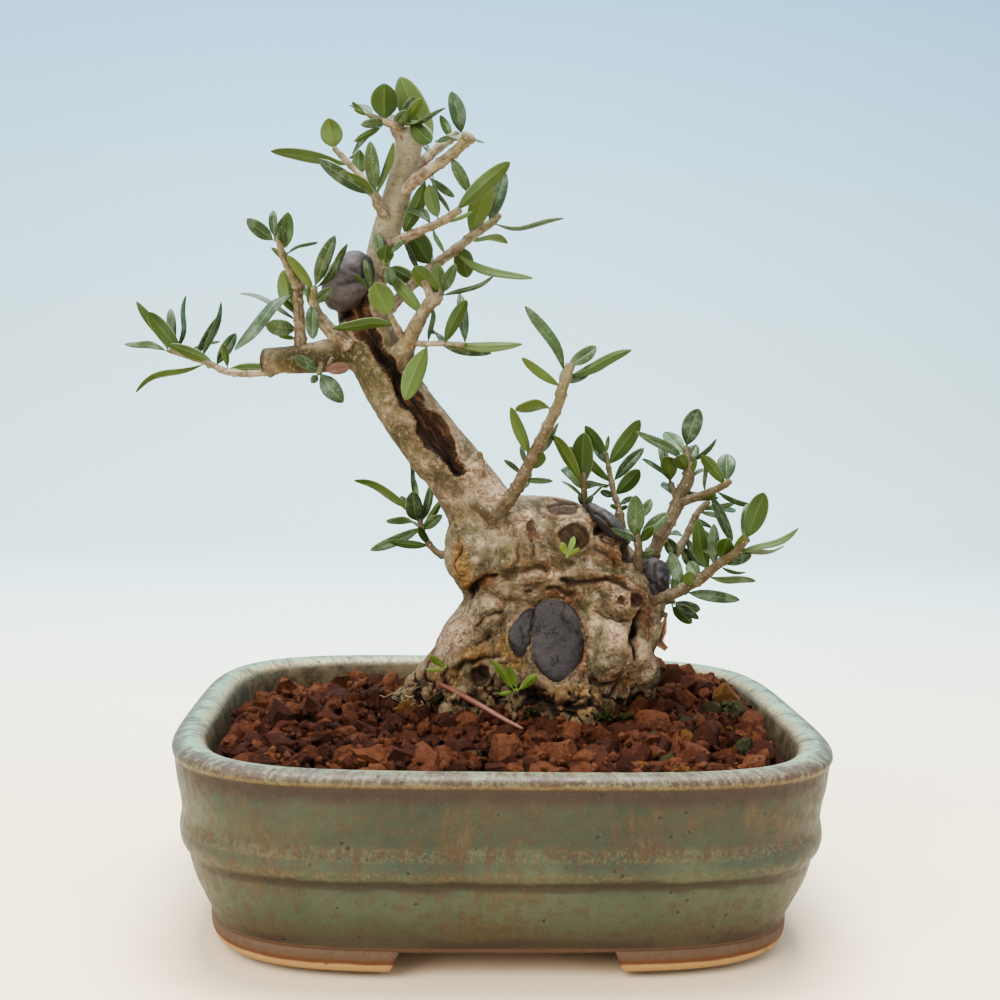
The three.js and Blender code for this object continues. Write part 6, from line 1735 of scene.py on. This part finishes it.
def leafForm(leaf, draw):  # one closed skin from the stalk's root to the leaf's tip
    root, base, tip, width, normal = leaf
    length = np.linalg.norm(tip - base)
    axis = (tip - base) / length
    across = np.cross(axis, normal)
    t, share = leafRows.T[..., None]
    share = share * (1 + (draw() - 0.5) * 0.35 * (t - 0.5))
    sickle = leafShape["sickle"] * (2 * draw() - 1) * length
    curl = leafShape["curl"] * (2 * draw() - 1) * length
    middle = base + axis * t * length
    middle += normal * (4 * leafShape["arch"] * length * t * (1 - t) + curl * np.sin(2 * np.pi * t))
    middle += across * sickle * np.sin(np.pi * t)
    half = width / 2 * share
    thick = leafShape["thickness"] / 2 * (0.75 + 0.25 * np.sin(np.pi * t)) * min(1, 0.7 + width / 12)
    thick = np.minimum(thick, half + 0.12)
    low, high = leafShape["fold"]
    fold = (low + (high - low) * draw()) * np.sin(np.pi * t) ** 0.5
    u, upper = leafRing, leafUpper * 2 - 1
    swell = (1 - np.abs(u) ** 3) ** 0.6
    rib = np.where(upper > 0, *leafShape["rib"]) * bell(u, 0.09) * np.minimum(1, half / 1.2)
    level = thick * upper * swell - rib + fold * np.abs(u) * half * np.where(width > 1.2, 1, 0)
    phase = 6.3 * draw()
    wave = leafShape["wave"] * half * u ** 2 * np.sin(9 * t + phase + 1.3 * np.sign(u))
    vein = leafShape["vein"] * np.sin(40 * t - 8 * np.abs(u)) * (1 - u ** 2) * np.minimum(1, half / 1.5)
    points = middle[:, None] + across * (half * u)[..., None] + normal * (level + wave + vein)[..., None]
    place = np.empty(points.shape[:2] + (4,))
    place[..., 0] = 0.5 + u / 2
    place[..., 1] = t
    place[..., 2] = leafUpper
    place[..., 3] = draw()
    angle = np.linspace(np.pi, -np.pi, 21)[:-1]
    radius = leafShape["petiole"] * (0.7 + 0.05 * min(width, 6))
    stalk = []
    for step in (0.0, 0.35, 0.72):
        spot = root + (base - root) * step
        ring = across * np.cos(angle)[:, None] + normal * np.sin(angle)[:, None]
        stalk.append(spot + ring * radius * (1.25 - 0.3 * step))
    points = np.concatenate([np.array(stalk), points])
    stalkPlace = np.repeat(place[:1], 3, 0)
    stalkPlace[..., 0] = 0.5
    place = np.concatenate([stalkPlace, place])
    place = np.concatenate([place.reshape(-1, 4), place[0, :1], place[-1, :1]])
    return closedGrid(points, [points[0].mean(0), tip + axis * 0.12], leafPlace=place, part=1.0)


def twigForm(stations):  # round in section, thicker at its joints, a little uneven
    path, radii = stemPath(stations, 0.55)
    run = runAlong(path)
    joint = bell((run / 4.6 + 0.35) % 1 - 0.5, 0.09)
    sides = 12
    form = tubeOf(path, radii * (0.93 + 0.2 * joint), sides)
    points = form["points"]
    middle = np.concatenate([np.repeat(path, sides, 0), [path[0], path[-1]]])
    outward = points - middle
    share = 0.2 * layeredNoise(points, 2.2, 3, 15)
    form["points"] = points + outward * share[:, None]
    length = np.concatenate([np.repeat(run, sides), [run[0], run[-1]]])
    form["leafPlace"] = np.stack([*outward.T[:2], length * 0.12 + outward[:, 2], length * 0], -1) / 1000
    form["part"] = 0.0
    return form


def curledLeaf(stations):  # a dry leaf rolled to a half-open tube along its length
    path, _ = stemPath(stations, 0.7)
    t = np.linspace(0, 1, len(path))
    sizes = 0.8 * np.sin(np.pi * np.clip(t * 1.04 - 0.1, 0, 1)) ** 0.7 + 0.3
    tangents = unit(np.gradient(path, axis=0))
    sideways = unit(np.cross(tangents, turned(0.25, -1, 0.1)))
    front = np.cross(sideways, tangents)
    bend = np.linspace(-2.5, 2.3, 14)
    ring = np.concatenate([bend, bend[::-1]])
    thick = np.concatenate([np.full(14, 0.2), np.full(14, -0.2)])
    spiral = 1 - 0.22 * np.abs(ring) / 2.5
    points = []
    for spot, side, ahead, size, share in zip(path, sideways, front, sizes, t):
        reach = size * spiral * (1 + 0.12 * np.sin(5 * share * 6 + ring * 2)) + thick
        outward = side * np.sin(ring)[:, None] - ahead * 0.8 * np.cos(ring)[:, None]
        points.append(spot + outward * reach[:, None])
    place = np.tile([0.3, 0, 1, 0.4], (len(points) * len(ring) + 2, 1))
    return closedGrid(points, leafPlace=place, part=1.0)


stalk = [  # the fallen stalk's stations [x, z, radius, y]
    [-15.6, 52.2, 0.6, -8], [-11, 50, 0.75, -12.5], [-5, 46.8, 0.8, -17.5], [1, 43.4, 0.7, -21],
    [6.6, 40.6, 0.5, -24],
]
otherLeaves = {  # changes to the look of the green leaves
    "youngLeaf": {
        "upper": (0.33, 0.44, 0.15), "upperBright": (0.43, 0.53, 0.21),
        "lower": (0.38, 0.47, 0.18), "lowerPale": (0.48, 0.56, 0.26),
    },
    "fadedLeaf": {
        "upper": (0.32, 0.225, 0.19), "upperBright": (0.42, 0.31, 0.26), "edge": (0.47, 0.36, 0.29),
        "lower": (0.36, 0.265, 0.225), "lowerPale": (0.46, 0.355, 0.30), "through": (0.34, 0.25, 0.20),
        "vein": (0.44, 0.32, 0.26), "dust": (0.50, 0.41, 0.35),
    },
    "dryLeaf": {
        "upper": (0.60, 0.46, 0.35), "upperBright": (0.76, 0.63, 0.52), "edge": (0.74, 0.60, 0.48),
        "lower": (0.52, 0.37, 0.27), "lowerPale": (0.66, 0.51, 0.40), "through": (0.5, 0.36, 0.26),
        "vein": (0.60, 0.44, 0.32), "dust": (0.76, 0.64, 0.52),
    },
}


def makeShoots():  # each shoot's leaves and stems as one piece
    bark = twigFinish()
    green = leafFinish()
    young, faded, dry = (leafFinish(*look) for look in otherLeaves.items())
    rearDraw = seededDraws(leafShape["seed"])
    draw = seededDraws(leafShape["seed"] + 7)
    count = 0
    for name, (stems, leaves, rear) in shoots.items():
        leaves = [seenLeaf(stems, entry) for entry in leaves]
        leaves += [rearLeaf(stems, i, rear, rearDraw) for i in range(rear)]
        forms = [leafForm(leaf, draw) for leaf in leaves]
        blade, slot = green, "leaf"
        if name == "leaf_curled_dry":
            forms.append(curledLeaf(stems[0][1:]))
            blade, slot = dry, "dry_leaf"
            stems = [stems[0][:2]]
        if name == "leaf_faded":
            blade, slot = faded, "dry_leaf"
        if name.startswith("sprout"):
            blade, slot = young, "sprout"
        forms += [twigForm(stations) for stations in stems]
        piece = pieceFrom(name + "_grown", together(forms), [bark, blade], slot, [name])
        outwards(piece)
        count += len(leaves)
    outwards(pieceFrom("stalk_dry", limbForm(stalk, 10), [stalkFinish()], "dry_leaf", ["stalk_fallen"]))
    print("shoots:", len(shoots), "with", count, "leaves")


# Soil

ground = {
    "level": 42.3,
    "edgeDrop": 2.0,
    "rearLeftDrop": 3.0,
    "heaps": [[10.0, 12.0, 48.0, 28.0, 34.0, 6.5], [52.0, 24.0, 22.0, 26.0, 22.0, 3.0]],
    "underside": [23.4, 43.7],  # half widths of the rings under the bed
    "edge": [[64.0, 10.6], [65.8, 15.5], [67.6, 27.0], [69.4, 38.5], [69.8, 40.2]],
    "spacing": 3.35,
    "sizes": [1.7, 4.5],
    "jitter": 0.42,  # share of the spacing
    "crumbs": 3,
    "crumbSizes": [0.16, 0.36],  # shares of the granule's size
    "reach": 69.4,
    "middle": 6.0,
    "bare": [9, 5, 26, 15],  # an oval under the stump: x, y, half width, half depth
    "seed": 23,
}


def groundHeight(x, y):  # heaps over a level, lower towards the wall, the back and the rear left
    height = np.full(np.shape(x), ground["level"])
    for heapX, heapY, width, ahead, behind, rise in ground["heaps"]:
        reach = np.where(y < heapY, ahead, behind)
        height = height + rise * np.exp(-((x - heapX) / width) ** 2 - ((y - heapY) / reach) ** 2)
    rim = np.clip((np.abs(x) / 69) ** 6 + (np.abs(y) / 57) ** 6, 0, 1.2)
    rearLeft = ramp(-x, 0, 22) * ramp(y, 2, 30)
    return height - (ground["edgeDrop"] + 1.5 * ramp(y, 10, 50)) * rim - ground["rearLeftDrop"] * rearLeft


def groundBed():  # a closed bed under the granules
    angles = evenAngles(160)
    rows = [ringAt(halfWidth, ground["edge"][0][1], angles) for halfWidth in ground["underside"]]
    for halfWidth, z in ground["edge"]:
        x, y = roundedRing(halfWidth, angles)
        rows.append(np.stack([x, y, np.minimum(z, groundHeight(x, y) + 1.4)], -1))
    for share in np.linspace(0.97, 0.1, 22):
        x, y = roundedRing(ground["reach"] * share + ground["middle"] * (1 - share), angles)
        spots = np.stack([x, y, x * 0], -1)
        lift = 0.9 * layeredNoise(spots, 6, 3, 6) - 1.0
        rows.append(np.stack([x, y, groundHeight(x, y) + lift], -1))
    return closedGrid(rows, grain=0.05)


def ballDirections(finer):  # 12 even directions and the 20 faces between them, or 42 and 80
    g = (1 + math.sqrt(5)) / 2
    spots = [[-1, g, 0], [1, g, 0], [-1, -g, 0], [1, -g, 0], [0, -1, g], [0, 1, g], [0, -1, -g], [0, 1, -g],
             [g, 0, -1], [g, 0, 1], [-g, 0, -1], [-g, 0, 1]]
    faces = [[0, 11, 5], [0, 5, 1], [0, 1, 7], [0, 7, 10], [0, 10, 11], [1, 5, 9], [5, 11, 4], [11, 10, 2],
             [10, 7, 6], [7, 1, 8], [3, 9, 4], [3, 4, 2], [3, 2, 6], [3, 6, 8], [3, 8, 9], [4, 9, 5],
             [2, 4, 11], [6, 2, 10], [8, 6, 7], [9, 8, 1]]
    between, halved = {}, []
    for a, b, c in faces if finer else ():
        mids = []
        for pair in ((a, b), (b, c), (c, a)):
            key = (min(pair), max(pair))
            if key not in between:
                between[key] = len(spots)
                spots.append([(spots[key[0]][i] + spots[key[1]][i]) / 2 for i in range(3)])
            mids.append(between[key])
        halved += [[a, mids[0], mids[2]], [b, mids[1], mids[0]], [c, mids[2], mids[1]], mids]
    return unit(np.array(spots, float)), np.array(halved or faces)


def chippedBalls(centres, sizes, seed, cuts=9, stretch=0.35, finer=True):
    # Balls with uneven radii, cut by random planes, stretched and turned.
    draw = np.random.default_rng(seed)
    directions, faces = ballDirections(finer)
    count, around = len(centres), len(directions)
    uneven = 1.05 + 0.17 * draw.standard_normal((count, around, 1))
    points = np.broadcast_to(directions, (count,) + directions.shape) * uneven
    for _ in range(cuts):
        normal = unit(draw.standard_normal((count, 1, 3)))
        level = 0.55 + 0.35 * draw.random((count, 1))
        over = np.maximum((points * normal).sum(2) - level, 0)
        points = points - over[..., None] * normal
    points = points * (1 + stretch * (2 * draw.random((count, 1, 3)) - 1))
    w, x, y, z = unit(draw.standard_normal((count, 4))).T  # a quaternion for each ball
    turn = np.stack([
        1 - 2 * (y * y + z * z), 2 * (x * y - z * w), 2 * (x * z + y * w),
        2 * (x * y + z * w), 1 - 2 * (x * x + z * z), 2 * (y * z - x * w),
        2 * (x * z - y * w), 2 * (y * z + x * w), 1 - 2 * (x * x + y * y)], -1).reshape(-1, 3, 3)
    points = np.einsum("nij,nkj->nki", turn, points) * sizes[:, None, None] + centres[:, None]
    shifted = faces[None] + (np.arange(count) * around)[:, None, None]
    return {"points": points.reshape(-1, 3), "tris": shifted.reshape(-1, 3), "quads": np.zeros((0, 4), int)}


def granules():
    # Chipped balls on a jittered lattice over the soil's height, with small crumbs on their upper side. A
    # draw picks each one's colour, and black ones are smaller.
    draw = np.random.default_rng(ground["seed"])
    step = ground["spacing"]
    gx, gy = np.meshgrid(np.arange(-72, 72, step), np.arange(-62, 62, step))
    gx = gx + (np.arange(gx.shape[0]) % 2 * step / 2)[:, None]
    jitter = ground["jitter"]
    x = (gx + draw.uniform(-jitter, jitter, gx.shape) * step).ravel()
    y = (gy + draw.uniform(-jitter, jitter, gy.shape) * step).ravel()
    low, high = ground["sizes"]
    size = low + (high - low) * draw.random(len(x)) ** 1.6
    reach = ground["reach"] - size
    power = pot["squareness"]
    inside = (np.abs(x) / reach) ** power + (np.abs(y) / (reach - pot["deeper"])) ** power < 1
    bareX, bareY, across, deep = ground["bare"]
    bare = turned(bareX, bareY, 0)
    away = np.hypot((x - bare[0]) / across, (y - bare[1]) / deep) > 1
    x, y, size = x[inside & away], y[inside & away], size[inside & away]
    z = groundHeight(x, y) + draw.uniform(-1.4, 1.6, len(x)) + 0.5
    grain = draw.random(len(x))  # its colour: 0 to 1 deep brown to red, 2 ochre, 3 grey-green, 4 black
    chance = draw.random(len(x))
    seenX = seenAs(np.stack([x, y, z], -1))[0]
    right = ramp(seenX, 22, 34) * (1 - ramp(seenX, 60, 74))
    grain = np.where(chance < 0.004 + 0.06 * right, 2.0, grain)
    grain = np.where((chance > 0.952 - 0.05 * right) & (chance < 0.955), 3.0, grain)
    grain = np.where(chance > 0.955, 4.0, grain)
    size = np.where(chance > 0.955, size * 0.6, size)
    centres = np.stack([x, y, z], -1)
    form = chippedBalls(centres, size, ground["seed"] + 1)
    form["grain"] = np.repeat(grain, len(form["points"]) // len(x))
    owner = np.repeat(np.arange(len(x)), ground["crumbs"])
    away = draw.standard_normal((len(owner), 3))
    away[:, 2] = np.abs(away[:, 2])
    away[:, 1] -= 0.4
    away = unit(away)
    crumbSize = size[owner] * draw.uniform(*ground["crumbSizes"], len(owner))
    crumbs = chippedBalls(centres[owner] + away * (size[owner] * 0.84)[:, None], crumbSize,
                          ground["seed"] + 2, 3, 0.3, False)
    own = grain[owner]
    varied = np.clip(own + draw.uniform(-0.3, 0.35, len(owner)), 0, 1)
    crumbs["grain"] = np.repeat(np.where(own <= 1, varied, own), len(crumbs["points"]) // len(owner))
    return together([form, crumbs]), len(x) + len(owner)


def makeSoil():  # a bed, and granules on it
    grains, count = granules()
    finish = granuleFinish()
    bed = together([groundBed()])
    piece = pieceFrom("soil_bed", bed, [finish], "soil", ["soil"])
    outwards(piece)
    pieceFrom("soil_granules", grains, [finish], "soil", smooth=False)
    print("soil:", count, "granules")


smallThings = {
    "tufts": [[-15.5, 47.5, -9, 1.6], [9, 45.2, -19, 1.2], [27.5, 44.3, -19, 1.6], [33, 44.4, -16, 1.2]],
    "tuftGrains": 34,
    "threads": 7,
    "threadSteps": 6,
    "threadRadius": 0.08,
    "seed": 77,
}


def makeSmallThings():  # moss round the stump's foot, and pale rootlets on the soil at its left
    draw = np.random.default_rng(smallThings["seed"])
    grains = smallThings["tuftGrains"]
    centres, sizes = [], []
    for x, z, y, reach in smallThings["tufts"]:
        spots = draw.normal(0, 1, (grains, 3)) * [reach, reach * 0.7, reach * 0.35]
        centres.append(placeAt(x, z, y) + spots)
        sizes.append(draw.uniform(0.35, 0.75, grains))
    moss = chippedBalls(np.concatenate(centres), np.concatenate(sizes), 5, 3, 0.5, False)
    pieceFrom("moss_tufts", moss, [mossFinish()], "sprout")
    threads = []
    for _ in range(smallThings["threads"]):
        x = draw.uniform(-31, -20)
        z = draw.uniform(47.0, 49.5)
        y = draw.uniform(-20, -12)
        stations = [[x, z, 0.09, y]]
        heading = draw.uniform(-3.1, 3.1)
        for _ in range(smallThings["threadSteps"]):
            heading += draw.normal(0, 0.9)
            x, y, z = x + 1.1 * math.cos(heading), y + 1.1 * math.sin(heading), z + draw.normal(0, 0.5)
            stations.append([x, z, smallThings["threadRadius"], y])
        threads.append(limbForm(stations, 5))
    outwards(pieceFrom("rootlets", together(threads), [rootletFinish()], "soil"))
    print("moss and rootlets done")


# Floor and light

studio = {
    "key": [(-0.7, -0.75, 0.75), 0.85, 19.0, (1.0, 0.97, 0.92)],
    "fill": [(0.75, -0.6, 0.35), 0.8, 4.0, (0.96, 0.98, 1.0)],
    "above": [(0.02, 0.12, 0.95), 0.55, 24.0, (1.0, 0.99, 0.97)],
    "around": 0.85,
    "paper": {"floor": (0.96, 0.86, 0.70), "haze": (0.86, 0.965, 0.94), "wall": (0.47, 0.77, 1.0)},
    "aim": (0.01, 0.0, 0.1),
    "below": 0.0004,
}


def makeStudio():  # a paper sweep that fades from floor to wall, a pale room, three lamps aimed at the tree
    profile = throughStations([[-1.6, 0.0], [-0.4, 0.0], [0.5, 0.0], [0.95, 0.03], [1.25, 0.3], [1.35, 0.9],
                               [1.36, 2.0]], 0.04)
    x = np.linspace(-3, 3, 5)
    y, z = profile[:, :1], profile[:, 1:] - studio["below"]
    points = np.stack(np.broadcast_arrays(x, y, z), -1).reshape(-1, 3)
    mesh = bpy.data.meshes.new("studio_floor")
    mesh.from_pydata(points.tolist(), [], gridQuads(len(profile), 5, False).tolist())
    mesh.polygons.foreach_set("use_smooth", np.ones(len(mesh.polygons), dtype=bool))
    f = Finish("paperSweep", studio["paper"])
    _, y, z = f.measures()
    f.colour = f.mix(f.between(y, -100.0, 650.0), "floor", "haze")
    f.lay(f.between(z, -200.0, 1100.0), "wall")
    mesh.materials.append(f.done(rough=0.75))
    floor = bpy.data.objects.new("studio_floor", mesh)
    bpy.context.collection.objects.link(floor)
    outwards(floor)
    floor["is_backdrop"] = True
    world = bpy.data.worlds.new("softRoom")
    world.use_nodes = True
    back = world.node_tree.nodes["Background"]
    back.inputs["Color"].default_value = tone(0.93, 0.95, 1.0)
    back.inputs["Strength"].default_value = studio["around"]
    bpy.context.scene.world = world
    bpy.context.scene.view_settings.look = "AgX - Medium High Contrast"
    for name in ("key", "fill", "above"):
        place, size, power, colour = studio[name]
        data = bpy.data.lights.new(name, "AREA")
        data.size = size
        data.energy = power
        data.color = colour
        lamp = bpy.data.objects.new(name, data)
        lamp.location = place
        aim = Vector(studio["aim"]) - Vector(place)
        lamp.rotation_euler = aim.to_track_quat("-Z", "Y").to_euler()
        bpy.context.collection.objects.link(lamp)


makePot()
makeWood()
makeShoots()
makeSoil()
makeSmallThings()
makeStudio()
placeCamera()
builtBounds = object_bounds()
boxes = {"packed": packedBounds, "built": builtBounds}
{key: [[float(v) for v in corner] for corner in box] for key, box in boxes.items()}
print("built", builtBounds)
